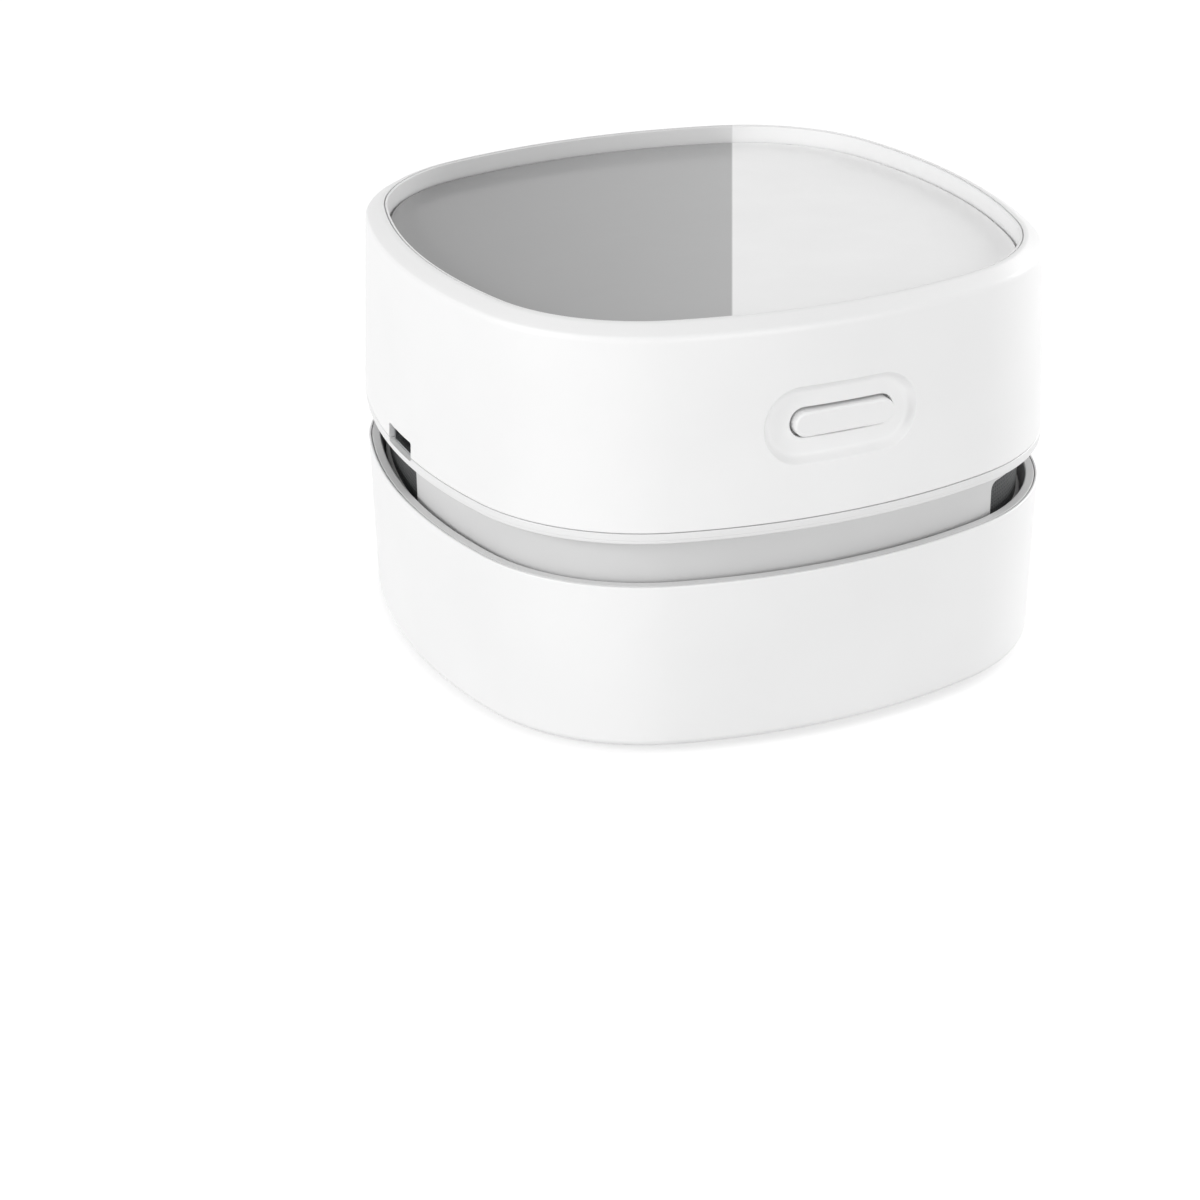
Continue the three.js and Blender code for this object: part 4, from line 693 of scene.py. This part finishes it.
RING_HEIGHT = 1.4 * mm
RING_HIGH = PLATE_LOW + RING_HEIGHT
PLATE_THICKNESS = 2.2 * mm
PLATE_HIGH = PLATE_LOW + PLATE_THICKNESS
NECK_WALL = 1.6 * mm
NECK_INNER = NECK_HALF - NECK_WALL
SHELL_WALL = 1.8 * mm
REGISTER_OUTER = BODY_HALF - SHELL_WALL - 0.3 * mm
REGISTER_WALL = 1.2 * mm
REGISTER_HIGH = PLATE_HIGH + 2.0 * mm
COLLAR_INNER = 12.3 * mm
COLLAR_OUTER = 13.7 * mm
COLLAR_HIGH = PLATE_HIGH + 4.0 * mm
BUSH_HOLE = 3.3 * mm
RING_STEP = 0.06 * mm
STEP_LOW = PLATE_LOW + 0.52 * mm
STEP_HIGH = PLATE_LOW + 0.60 * mm
base_profile = [
    (BUSH_HOLE, PLATE_LOW, 0.1 * mm),
    (NECK_INNER - FIT, PLATE_LOW, 0),
    (NECK_INNER - FIT, NECK_HIGH, 0),
    (NECK_HALF + FIT, NECK_HIGH, 0),
    (NECK_HALF + FIT, PLATE_LOW, 0.1 * mm),
    (BODY_HALF - RING_STEP, PLATE_LOW, 0.28 * mm),
    (BODY_HALF - RING_STEP, STEP_LOW, 0.02 * mm),
    (BODY_HALF, STEP_HIGH, 0.02 * mm),
    (BODY_HALF, RING_HIGH, 0.14 * mm),
    (REGISTER_OUTER, RING_HIGH, 0),
    (REGISTER_OUTER, REGISTER_HIGH, 0.2 * mm),
    (REGISTER_OUTER - REGISTER_WALL, REGISTER_HIGH, 0.2 * mm),
    (REGISTER_OUTER - REGISTER_WALL, PLATE_HIGH, 0.3 * mm),
    (COLLAR_OUTER, PLATE_HIGH, 0.2 * mm),
    (COLLAR_OUTER, COLLAR_HIGH, 0.2 * mm),
    (COLLAR_INNER, COLLAR_HIGH, 0.1 * mm),
    (COLLAR_INNER, PLATE_HIGH, 0),
    (BUSH_HOLE, PLATE_HIGH, 0),
]
base_ring = ring_part(base_profile, "base_ring_and_plate", RING_PALE, "head", "ring_plastic", ["chassis"],
                      round_below=COLLAR_OUTER + 1 * mm)

# Air scroll: places on it are a bearing in degrees and a distance from the axis

SCROLL_WALL = 1.2 * mm
SCROLL_GAP = 0.3 * mm
SCROLL_LOW = COVER_HIGH + SCROLL_GAP
SCROLL_ROOT = PLATE_LOW + 0.3 * mm
FAN_RADIUS = half_width("impeller")
SCROLL_START = (12.0, FAN_RADIUS + 2.6 * mm)
SCROLL_END = (118.0, NECK_INNER - 1.5 * mm)
SCROLL_NOSE = (2.5, NECK_INNER - 1.7 * mm)
NOSE_STEPS = 3
SPIRAL_STEPS = 30
POST_RADIUS = 2.2 * mm
POST_PLACE = (28.58 * mm, 16.5 * mm)


def spiral_run(start, end, steps):
    """Places from the start up to the last step before the end."""
    return [tuple(a + (b - a) * number / steps for a, b in zip(start, end)) for number in range(steps)]


def air_scroll(turn):
    """A spiral wall from beside the window round to the far side of the fan."""
    nose = spiral_run(SCROLL_NOSE, SCROLL_START, NOSE_STEPS)
    spiral = spiral_run(SCROLL_START, SCROLL_END, SPIRAL_STEPS)
    bm = bmesh.new()
    verts = []
    for degrees, radius in nose + spiral + [SCROLL_END]:
        angle = math.radians(degrees + turn)
        verts.append(bm.verts.new((radius * math.cos(angle), radius * math.sin(angle), SCROLL_LOW)))
    edges = [bm.edges.new(pair) for pair in zip(verts, verts[1:])]
    raised = bmesh.ops.extrude_edge_only(bm, edges=edges)["geom"]
    bmesh.ops.translate(bm, verts=[v for v in raised if isinstance(v, bmesh.types.BMVert)],
                        vec=(0, 0, SCROLL_ROOT - SCROLL_LOW))
    bmesh.ops.recalc_face_normals(bm, faces=bm.faces)
    bmesh.ops.solidify(bm, geom=bm.faces[:], thickness=SCROLL_WALL)
    return bm


scroll_bm = air_scroll(0)
merge_in(scroll_bm, air_scroll(180))
for side in (1, -1):
    post = turned([(0, COVER_HIGH, 0), (POST_RADIUS, COVER_HIGH, 0.15 * mm), (POST_RADIUS, SCROLL_ROOT, 0),
                   (0, SCROLL_ROOT, 0)], looped=False, square=False, steps=32)
    bmesh.ops.translate(post, verts=post.verts, vec=(side * POST_PLACE[0], side * POST_PLACE[1], 0))
    merge_in(scroll_bm, post)
add_piece(scroll_bm, "air_scroll_walls", RING_PALE, "head")

# Neck: a sheet with two windows, rolled onto the outline

WINDOW_LOW = COVER_HIGH + 1.0 * mm
WINDOW_HIGH = PLATE_LOW - 2.0 * mm
WINDOW_ROUND = 1.1 * mm
WINDOW_DEGREES = (-55.4, -0.2)
NEARLY = 1e-6


def running_lengths(half):
    """Length along the outline up to each step."""
    lengths = [0.0]
    for step in range(AROUND):
        ax, ay = outline_point(step, half)
        bx, by = outline_point(step + 1, half)
        lengths.append(lengths[-1] + math.hypot(bx - ax, by - ay))
    return lengths


def step_at(degrees, half):
    """The step at which the outline is seen at this bearing from the axis."""
    wanted = degrees % 360
    bearings = []
    for step in range(AROUND + 1):
        x, y = outline_point(step, half)
        bearings.append(math.degrees(math.atan2(y, x)) % 360 if step < AROUND else 360.0)
    after = max(bisect.bisect_right(bearings, wanted), 1)
    before = after - 1
    return before + (wanted - bearings[before]) / (bearings[after] - bearings[before])


def length_at(step, lengths):
    whole = int(step)
    return lengths[whole] + (step - whole) * (lengths[whole + 1] - lengths[whole])


def roll_up(bm, half, lengths, shift=0.0):
    """Rolls a flat sheet, whose X is a length along the outline and Y a level, onto the outline."""
    for vert in bm.verts:
        run = (vert.co.x + shift) % lengths[-1]
        before = min(max(bisect.bisect_right(lengths, run + 1e-9) - 1, 0), AROUND - 1)
        step = before + (run - lengths[before]) / (lengths[before + 1] - lengths[before])
        x, y = outline_point(step, half)
        vert.co = (x, y, vert.co.y)


def cut_across(bm, place):
    """Cuts a flat sheet along the line where X has this value."""
    bmesh.ops.bisect_plane(bm, geom=bm.verts[:] + bm.edges[:] + bm.faces[:], plane_co=(place, 0, 0),
                           plane_no=(1, 0, 0), dist=1e-8)


def turn_up(bm):
    """Turns every face of a flat sheet upwards."""
    for face in bm.faces:
        if face.normal.z < 0:
            face.normal_flip()


def rounded_window(bm, x0, x1, y0, y1, radius):
    """Edges of a window with rounded corners, in the flat sheet."""
    corners = [bm.verts.new((x, y, 0)) for x, y in ((x0, y0), (x1, y0), (x1, y1), (x0, y1))]
    face = bm.faces.new(corners)
    round_off(bm, corners, radius, 6)
    window = max((f for f in bm.faces if all(x0 - NEARLY < v.co.x < x1 + NEARLY for v in f.verts)),
                 key=lambda f: f.calc_area())
    edges = window.edges[:]
    bmesh.ops.delete(bm, geom=[window], context="FACES_ONLY")
    return edges


def window_span(turn):
    """Where a window starts and ends along the neck's outline."""
    lengths = running_lengths(NECK_HALF)
    start = length_at(step_at(WINDOW_DEGREES[0] + turn, NECK_HALF), lengths)
    end = length_at(step_at(WINDOW_DEGREES[1] + turn, NECK_HALF), lengths)
    return start, end


def neck_wall():
    lengths = running_lengths(NECK_HALF)
    bm = bmesh.new()
    edges = []
    for turn in (0, 180):
        start, end = window_span(turn)
        edges += rounded_window(bm, start, end, WINDOW_LOW, WINDOW_HIGH, WINDOW_ROUND)
    border = [bm.verts.new((x, y, 0)) for x, y in
              ((0, NECK_LOW), (lengths[-1], NECK_LOW), (lengths[-1], NECK_HIGH), (0, NECK_HIGH))]
    for first, second in zip(border, border[1:] + border[:1]):
        edges.append(bm.edges.new((first, second)))
    bmesh.ops.triangle_fill(bm, edges=edges, use_beauty=True, use_dissolve=False, normal=(0, 0, 1))
    for length in lengths[1:-1]:
        cut_across(bm, length)
    turn_up(bm)
    for vert in bm.verts:
        if vert.co.x > lengths[-1] - 1e-7:
            vert.co.x = lengths[-1] - 1e-12
    roll_up(bm, NECK_HALF, lengths)
    return bm


thicken(add_piece(neck_wall(), "neck_tube", NECK_GREY, "head", ["neck"]), NECK_WALL)

NECK_LIP = 1.5 * mm
NECK_LIP_HEIGHT = 1.0 * mm
ring_part([
    (NECK_INNER - NECK_LIP, NECK_LOW, 0.2 * mm),
    (NECK_INNER + FIT, NECK_LOW, 0),
    (NECK_INNER + FIT, NECK_LOW + NECK_LIP_HEIGHT, 0),
    (NECK_INNER - NECK_LIP, NECK_LOW + NECK_LIP_HEIGHT, 0.1 * mm),
], "neck_inner_lip", NECK_GREY, "head", "grey_plastic", [])

# Exhaust mesh: a fine square net set into each window

MESH_PITCH = 0.56 * mm
MESH_BAR = 0.16 * mm
MESH_MARGIN = 0.15 * mm
MESH_SHEET = 1.1 * mm
MESH_SUNK = 0.45 * mm


def exhaust_net(turn):
    half = NECK_HALF - MESH_SUNK
    outer = running_lengths(NECK_HALF)
    inner = running_lengths(half)
    start, end = window_span(turn)
    start_run = start * inner[-1] / outer[-1]
    end_run = end * inner[-1] / outer[-1]
    if end_run < start_run:
        end_run += inner[-1]
    width = end_run - start_run + 2 * MESH_MARGIN
    height = WINDOW_HIGH - WINDOW_LOW + 2 * MESH_MARGIN
    columns = round(width / MESH_PITCH)
    rows = round(height / MESH_PITCH)
    bm = bmesh.new()
    bmesh.ops.create_grid(bm, x_segments=columns, y_segments=rows, size=0.5)
    bmesh.ops.scale(bm, verts=bm.verts, vec=(width, height, 1))
    bmesh.ops.translate(bm, verts=bm.verts, vec=(width / 2, (WINDOW_LOW + WINDOW_HIGH) / 2, 0))
    cells = bm.faces[:]
    bmesh.ops.inset_individual(bm, faces=cells, thickness=MESH_BAR, use_even_offset=True)
    bmesh.ops.delete(bm, geom=cells, context="FACES")
    roll_up(bm, half, inner, start_run - MESH_MARGIN)
    return bm


for side, turn in (("right", 0), ("left", 180)):
    net = add_piece(exhaust_net(turn), f"exhaust_net_{side}", MESH_DARK, "head",
                    [f"exhaust_mesh_{side}"])
    thicken(net, MESH_SHEET)

# Filter frame and its pleated paper

FRAME_WALL = 3.0 * mm
FRAME_LIP = 1.5 * mm
FRAME_LIP_HEIGHT = 0.8 * mm
FRAME_RIB = 1.6 * mm
RIB_ROUND = 0.12 * mm
FRAME_INNER = FRAME_HALF - FRAME_WALL
frame_bm = turned(
    [
        (FRAME_INNER, COVER_LOW, 0.1 * mm),
        (FRAME_INNER, FRAME_LOW + FRAME_LIP_HEIGHT, 0),
        (FRAME_INNER - FRAME_LIP, FRAME_LOW + FRAME_LIP_HEIGHT, 0.15 * mm),
        (FRAME_INNER - FRAME_LIP, FRAME_LOW, 0.2 * mm),
        (FRAME_HALF, FRAME_LOW, 0.4 * mm),
        (FRAME_HALF, COVER_LOW, 0.1 * mm),
    ],
)
rib_bm = bmesh.new()
rib_reach = 2 * FRAME_INNER - FRAME_LIP
for turn in (0, math.pi / 2):
    made = bmesh.ops.create_cube(rib_bm, size=1.0)
    bmesh.ops.scale(rib_bm, verts=made["verts"], vec=(rib_reach, FRAME_RIB, FRAME_LIP_HEIGHT))
    bmesh.ops.rotate(rib_bm, verts=made["verts"], cent=(0, 0, 0), matrix=Matrix.Rotation(turn, 3, "Z"))
bmesh.ops.translate(rib_bm, verts=rib_bm.verts, vec=(0, 0, FRAME_LOW + FRAME_LIP_HEIGHT / 2))
round_off(rib_bm, rib_bm.edges[:], RIB_ROUND, 2, "EDGES")
merge_in(frame_bm, rib_bm)
add_piece(frame_bm, "filter_frame_moulding", INNER_GREY, "head", ["filter_frame"])

PLEAT_PITCH = 3.2 * mm
PLEAT_DEPTH = 1.5 * mm
CUTS_PER_PLEAT = 8
PAPER_HALF = FRAME_INNER - FIT
PAPER_LOW = FRAME_LOW + FRAME_LIP_HEIGHT
PAPER_THICKNESS = 0.35 * mm


def pleated_paper():
    """A sheet folded into soft pleats along X and trimmed to the frame."""
    pleats = int(2 * PAPER_HALF / PLEAT_PITCH)
    bm = turned([(0, 0, 0), (PAPER_HALF, 0, 0)], looped=False)
    fold = 2 * PAPER_HALF / pleats / CUTS_PER_PLEAT
    place = -PAPER_HALF + fold
    while place < PAPER_HALF - NEARLY:
        cut_across(bm, place)
        place += fold
    for vert in bm.verts:
        wave = math.cos((vert.co.x + PAPER_HALF) / (2 * PAPER_HALF) * pleats * 2 * math.pi)
        vert.co.z = PAPER_LOW + PAPER_THICKNESS + PLEAT_DEPTH * (0.5 - 0.5 * wave)
    turn_up(bm)
    return bm


paper = add_piece(pleated_paper(), "filter_paper_pleats", PAPER, "head",
                  ["filter_medium"], 60)
thicken(paper, PAPER_THICKNESS)

# Head shell: tapered wall, crowned rim, deck, and a dish with the button's hole in the front wall

SHELL_TOP_HALF = BODY_HALF - 1.2 * mm
RECESS_HALF = PANEL_HALF + 0.3 * mm
CREST_OUTER = RECESS_HALF + 0.9 * mm
CROWN_HALF = SHELL_TOP_HALF - 0.7 * mm
CREST_DROP = 0.06 * mm
HAIRLINE_INNER = RECESS_HALF + 0.30 * mm
HAIRLINE_OUTER = HAIRLINE_INNER + 0.15 * mm
HAIRLINE_DEPTH = 0.5 * mm
CROWN_DROP = 0.8 * mm
SHOULDER_DROP = 1.6 * mm
SHOULDER_SHARE = 0.7
SHADOW_GAP = 0.11 * mm
SHELL_FOOT = RING_HIGH + SHADOW_GAP
DECK_THICKNESS = 1.3 * mm
DECK_LOW = PANEL_LOW - DECK_THICKNESS
PATCH_LOW = 35.0 * mm
PATCH_HIGH = 50.0 * mm
PATCH_ROWS = 13
PATCH_MARGIN = 1.2 * mm
BUTTON_CENTRE = (BUTTON_LOW.z + BUTTON_HIGH.z) / 2
BUTTON_LENGTH = 13.4 * mm
BUTTON_HEIGHT = 3.25 * mm
BUTTON_GAP = 0.30 * mm
DISH_LENGTH = 20.6 * mm
DISH_SHIFT = -0.40 * mm
DISH_HEIGHT = 9.8 * mm
DISH_DEPTH = 0.95 * mm
DISH_SLOPE = 1.15 * mm
DISH_BORDER = 0.10 * mm
DISH_EDGE = 0.03 * mm
HOLE_ROUND = 0.08 * mm
BOSS_PLACE = 28.0 * mm
BOSS_RADIUS = 2.8 * mm
BOSS_HOLE = 0.8 * mm


def shell_half(level):
    share = (level - SHELL_LOW) / (SHELL_HIGH - SHOULDER_DROP - SHELL_LOW)
    return BODY_HALF + (SHELL_TOP_HALF - BODY_HALF) * share


def slot_ring(length, height, facing, shift=0.0):
    """Points round a slot shape about the button; facing gives their Y from X and level."""
    radius = height / 2
    reach = length / 2 - radius
    end_steps, side_steps = 20, 12
    points = []
    for side in (1, -1):
        for number in range(end_steps + 1):
            angle = -math.pi / 2 + math.pi * number / end_steps
            points.append((side * (reach + radius * math.cos(angle)), side * radius * math.sin(angle)))
        for number in range(1, side_steps):
            points.append((side * reach * (1 - 2 * number / side_steps), side * radius))
    return [(x + shift, facing(x + shift, BUTTON_CENTRE + rise), BUTTON_CENTRE + rise) for x, rise in points]


def bridged(bm, rings, before=(), after=()):
    """Bridges rings of points while they stand well apart, then moves each to its own place.

    before and after are rims already in the piece that the first and the last ring join.
    """
    loops = []
    places = {}
    for number, ring in enumerate(rings):
        verts = [bm.verts.new((x, number * mm, level)) for x, y, level in ring]
        places.update(zip(verts, ring))
        loops.append([bm.edges.new(pair) for pair in zip(verts, verts[1:] + verts[:1])])
    chain = [list(rim) for rim in (before, *loops, after) if rim]
    for first, second in zip(chain, chain[1:]):
        bmesh.ops.bridge_loops(bm, edges=first + second)
    for vert, place in places.items():
        vert.co = place
    return loops


def wall_place(sunk, wall=0.0):
    """A place on the front wall, or on its inner face, sunk by a depth."""
    return lambda x, level: sunk - side_reach(shell_half(level) - wall, x)


def near_slot(face, length, height):
    """Whether a face of the front wall lies inside a slot or close round it."""
    centre = face.calc_center_median()
    along = max(abs(centre.x) - (length - height) / 2, 0)
    distance = math.hypot(along, centre.z - BUTTON_CENTRE)
    return centre.y < -PANEL_HALF / 2 and distance < height / 2 + PATCH_MARGIN


def open_wall(bm, faces):
    """Takes faces out of a wall and gives back the edges round the opening."""
    rim = [edge for edge in {edge for face in faces for edge in face.edges}
           if sum(linked in faces for linked in edge.link_faces) == 1]
    bmesh.ops.delete(bm, geom=list(faces), context="FACES")
    return rim


def dish_levels():
    """Offsets from the dish's rim and how deep the face lies there."""
    rings = [(-DISH_BORDER, 0.0), (0.0, DISH_EDGE)]
    slope_steps = 8
    for number in range(1, slope_steps + 1):
        share = number / slope_steps
        rings.append((DISH_SLOPE * share, DISH_DEPTH * (1 - (1 - share) ** 2)))
    return rings


def side_bow(face):
    """How far the front wall has curved back at a face, and leaned back at its level."""
    centre = face.calc_center_median()
    return side_reach(shell_half(centre.z), centre.x) - side_reach(shell_half(BUTTON_CENTRE), 0)


def head_shell():
    foot = shell_half(SHELL_LOW)
    deck_half = shell_half(DECK_LOW) - SHELL_WALL
    shoulder_half = CROWN_HALF + SHOULDER_SHARE * (SHELL_TOP_HALF - CROWN_HALF)
    rows = [PATCH_LOW + (PATCH_HIGH - PATCH_LOW) * row / PATCH_ROWS for row in range(PATCH_ROWS + 1)]
    bm = turned(
        [
            (0, PANEL_LOW, 0),
            (RECESS_HALF, PANEL_LOW, 0),
            (RECESS_HALF, SHELL_HIGH - CREST_DROP, 0.12 * mm),
            (HAIRLINE_INNER, SHELL_HIGH - CREST_DROP, 0.04 * mm),
            (HAIRLINE_INNER, SHELL_HIGH - HAIRLINE_DEPTH, 0),
            (HAIRLINE_OUTER, SHELL_HIGH - HAIRLINE_DEPTH, 0),
            (HAIRLINE_OUTER, SHELL_HIGH, 0.06 * mm),
            (CREST_OUTER, SHELL_HIGH, 0.3 * mm),
            (CROWN_HALF, SHELL_HIGH - CROWN_DROP, 0.35 * mm),
            (shoulder_half, SHELL_HIGH - SHOULDER_SHARE * SHOULDER_DROP, 0.25 * mm),
            (SHELL_TOP_HALF, SHELL_HIGH - SHOULDER_DROP, 0.35 * mm),
            *[(shell_half(level), level, 0) for level in reversed(rows)],
            (foot, SHELL_FOOT, 0.14 * mm),
            (foot - SHELL_WALL, SHELL_FOOT, 0.1 * mm),
            *[(shell_half(level) - SHELL_WALL, level, 0) for level in rows],
            (deck_half, DECK_LOW, 0.8 * mm),
            (0, DECK_LOW, 0),
        ],
        looped=False,
    )
    hole_length = BUTTON_LENGTH + 2 * BUTTON_GAP
    hole_height = BUTTON_HEIGHT + 2 * BUTTON_GAP
    middle = -side_reach(shell_half(BUTTON_CENTRE) - SHELL_WALL / 2, 0)
    outer = {face for face in bm.faces if near_slot(face, DISH_LENGTH, DISH_HEIGHT)
             and face.calc_center_median().y + side_bow(face) < middle}
    outer_rim = open_wall(bm, outer)
    inner = {face for face in bm.faces if near_slot(face, hole_length, hole_height)
             and face.calc_center_median().y + side_bow(face) > middle}
    inner_rim = open_wall(bm, inner)
    rings = [slot_ring(DISH_LENGTH - 2 * offset, DISH_HEIGHT - 2 * offset, wall_place(depth), DISH_SHIFT)
             for offset, depth in dish_levels()]
    for growth, place in ((2 * HOLE_ROUND, wall_place(DISH_DEPTH)), (0, wall_place(DISH_DEPTH + HOLE_ROUND)),
                          (0, wall_place(0, SHELL_WALL))):
        rings.append(slot_ring(hole_length + growth, hole_height + growth, place))
    bridged(bm, rings, outer_rim, inner_rim)
    return bm


def screw_bosses():
    bm = bmesh.new()
    for x in (-BOSS_PLACE, BOSS_PLACE):
        for y in (-BOSS_PLACE, BOSS_PLACE):
            boss = turned([(BOSS_HOLE, PLATE_HIGH, 0.1 * mm), (BOSS_RADIUS, PLATE_HIGH, 0.2 * mm),
                           (BOSS_RADIUS, DECK_LOW, 0), (BOSS_HOLE, DECK_LOW, 0)], square=False, steps=32)
            bmesh.ops.translate(boss, verts=boss.verts, vec=(x, y, 0))
            merge_in(bm, boss)
    return bm


shell_piece = add_piece(head_shell(), "head_shell_moulding", SHELL_WHITE, "head",
                        ["head_shell"], 38)
add_piece(screw_bosses(), "shell_screw_bosses", SHELL_WHITE, "head")
# Marks the faces inside the recess, which take the recess wall's pale tone and its painted shade.
recess = shell_piece.data.attributes.new("recess", "FLOAT", "FACE")
for polygon in shell_piece.data.polygons:
    centre = polygon.center
    inside = polygon.normal.to_2d().dot(centre.to_2d()) < 0
    recess.data[polygon.index].value = 1.0 if inside and centre.z > PANEL_LOW else 0.0

# Charging port: a notch through the shell's foot and the ring, with the socket in it

PORT_LEFT, PORT_RIGHT = -4.5 * mm, 3.5 * mm
PORT_SUNK = 0.4 * mm
PORT_HEIGHT = 2.6 * mm
PORT_LOW = RING_HIGH - PORT_SUNK
PORT_DEPTH = 7.0 * mm
PORT_OUTSIDE = 0.1 * PORT_DEPTH
PORT_ROUND = 0.3 * mm


def cut_port(piece):
    """Cuts the port's opening through a piece, from outside the left side inwards."""
    bm = bmesh.new()
    bmesh.ops.create_cube(bm, size=1.0)
    bmesh.ops.scale(bm, verts=bm.verts, vec=(PORT_DEPTH, PORT_RIGHT - PORT_LEFT, PORT_HEIGHT))
    bmesh.ops.translate(bm, verts=bm.verts, vec=(PORT_DEPTH / 2 - PORT_OUTSIDE - BODY_HALF,
                                                 (PORT_LEFT + PORT_RIGHT) / 2, PORT_LOW + PORT_HEIGHT / 2))
    along = [edge for edge in bm.edges if abs(edge.verts[0].co.x - edge.verts[1].co.x) > PORT_DEPTH / 2]
    round_off(bm, along, PORT_ROUND, 3, "EDGES")
    cutter = add_object("port_cutter", mesh_from(bm, "port_cutter"))
    notch = piece.modifiers.new("port", "BOOLEAN")
    notch.operation = "DIFFERENCE"
    notch.solver = "EXACT"
    notch.object = cutter
    bpy.context.view_layer.update()
    graph = bpy.context.evaluated_depsgraph_get()
    cut_mesh = bpy.data.meshes.new_from_object(piece.evaluated_get(graph), depsgraph=graph)
    piece.modifiers.remove(notch)
    piece.data = cut_mesh
    bpy.data.objects.remove(cutter)


cut_port(shell_piece)
cut_port(base_ring)

# Glossy panel in the recess

ring_part([
    (0, PANEL_LOW, 0),
    (PANEL_HALF, PANEL_LOW, 0),
    (PANEL_HALF, PANEL_HIGH, 0.25 * mm),
    (0, PANEL_HIGH, 0),
], "crown_panel", PANEL_GLOSS, "head", "panel_gloss", ["top_panel"], looped=False)

# Button: a rounded bar on a flange, with its stem

CAP_FACE = BUTTON_LOW.y
CAP_ROUND = 0.32 * mm
FLANGE_FACE = -shell_half(BUTTON_CENTRE) + SHELL_WALL + 0.8 * mm
FLANGE_THICKNESS = 0.8 * mm
FLANGE_GROWTH = 1.6 * mm
FLANGE_BEVEL = 0.05 * mm
STEM_LENGTH = 3.2 * mm
STEM_HEIGHT = 3.1 * mm


def power_button():
    """Slots from the cap's face inwards, each of them given by its growth over the bar and its place in Y."""
    bm = bmesh.new()
    round_steps = 5
    slots = []
    for number in range(round_steps + 1):
        angle = math.pi / 2 * number / round_steps
        slots.append((-2 * CAP_ROUND * (1 - math.sin(angle)), CAP_FACE + CAP_ROUND * (1 - math.cos(angle))))
    slots += [
        (0, FLANGE_FACE),
        (FLANGE_GROWTH - 2 * FLANGE_BEVEL, FLANGE_FACE),
        (FLANGE_GROWTH, FLANGE_FACE + FLANGE_BEVEL),
        (FLANGE_GROWTH, FLANGE_FACE + FLANGE_THICKNESS),
    ]
    sections = [(BUTTON_LENGTH + growth, BUTTON_HEIGHT + growth, y) for growth, y in slots]
    sections += [(STEM_LENGTH, STEM_HEIGHT, y) for y in (FLANGE_FACE + FLANGE_THICKNESS, BUTTON_HIGH.y)]
    loops = bridged(bm, [slot_ring(length, height, lambda x, level, y=y: y)
                         for length, height, y in sections])
    bmesh.ops.edgeloop_fill(bm, edges=loops[0])
    bmesh.ops.edgeloop_fill(bm, edges=loops[-1])
    return bm


add_piece(power_button(), "push_button", BUTTON_WHITE, "button", ["power_button"])

# Floor, camera and lights

FLOOR_REACH = 0.95
FLOOR_TONES = (0.62, 0.62, 0.62), (0.65, 0.65, 0.65)
FLOOR_GLOW = 0.04
FLOOR_SEEN = 0.56
WORLD_LIGHT = 0.50
WORLD_SEEN = 1.0
CAMERA_PLACE = Vector((-141.655, -297.597, 160.213)) * mm
CAMERA_AIM = Vector((0.3534, 0.8269, -0.4376)).normalized()
CAMERA_ROLL = 0.0139
CAMERA_LENS = 78.66
LAMP_AIM = Vector((0, 0, 0.03))


def for_rays(tree, unseen, seen):
    """A strength for rays from the camera, straight, off gloss or through glass, and another for the rest."""
    ray = tree.nodes.new("ShaderNodeLightPath")
    either = ray.outputs["Is Camera Ray"]
    for kind in ("Is Glossy Ray", "Is Transmission Ray"):
        largest = new_node("ShaderNodeMath", either, 0)
        largest.operation = "MAXIMUM"
        join(ray.outputs[kind], largest.inputs[1])
        either = largest.outputs["Value"]
    return remap(either, 0, 1, unseen, seen)


def floor_finish():
    """Pale matt card that is white to the camera where no shadow falls."""
    finish, shader, place = new_finish("studio_floor")
    paint(shader, grain(place, 6.0), *FLOOR_TONES)
    shader.inputs["Roughness"].default_value = 0.9
    shader.inputs["Specular IOR Level"].default_value = 0.1
    shader.inputs["Emission Color"].default_value = (1, 1, 1, 1)
    join(for_rays(finish.node_tree, FLOOR_GLOW, FLOOR_SEEN), shader.inputs["Emission Strength"])
    return finish


floor_bm = bmesh.new()
bmesh.ops.create_grid(floor_bm, x_segments=1, y_segments=1, size=FLOOR_REACH)
floor = add_object("studio_floor", mesh_from(floor_bm, "studio_floor"))
floor.data.materials.append(floor_finish())

right = CAMERA_AIM.cross(Vector((0, 0, 1))).normalized()
up = right.cross(CAMERA_AIM)
rolled_right = right * math.cos(CAMERA_ROLL) - up * math.sin(CAMERA_ROLL)
rolled_up = right * math.sin(CAMERA_ROLL) + up * math.cos(CAMERA_ROLL)
camera_data = bpy.data.cameras.new("photo_camera")
camera_data.lens = CAMERA_LENS
camera_data.sensor_width = 36.0
camera_data.clip_start = 0.01
camera = add_object("photo_camera", camera_data)
turn = Matrix((rolled_right, rolled_up, -CAMERA_AIM)).transposed().to_4x4()
camera.matrix_world = Matrix.Translation(CAMERA_PLACE) @ turn
bpy.context.scene.camera = camera


def soft_lamp(name, place, size, power):
    data = bpy.data.lights.new(name, "AREA")
    data.shape = "SQUARE"
    data.size = size
    data.energy = power
    lamp = add_object(name, data)
    lamp.location = place
    lamp.rotation_euler = (LAMP_AIM - Vector(place)).to_track_quat("-Z", "Y").to_euler()


soft_lamp("left_softbox", (-1.0, -0.07, 0.38), size=0.5, power=5.4)
soft_lamp("front_fill", (0.22, -1.0, 0.20), size=0.6, power=4.0)
soft_lamp("right_fill", (1.0, 0.25, 0.36), size=0.6, power=5.6)

world = bpy.data.worlds.new("studio_world")
world.use_nodes = True
bpy.context.scene.world = world
background = world.node_tree.nodes["Background"]
background.inputs["Color"].default_value = (1, 1, 1, 1)
join(for_rays(world.node_tree, WORLD_LIGHT, WORLD_SEEN), background.inputs["Strength"])

bpy.context.scene.view_settings.view_transform = "Standard"
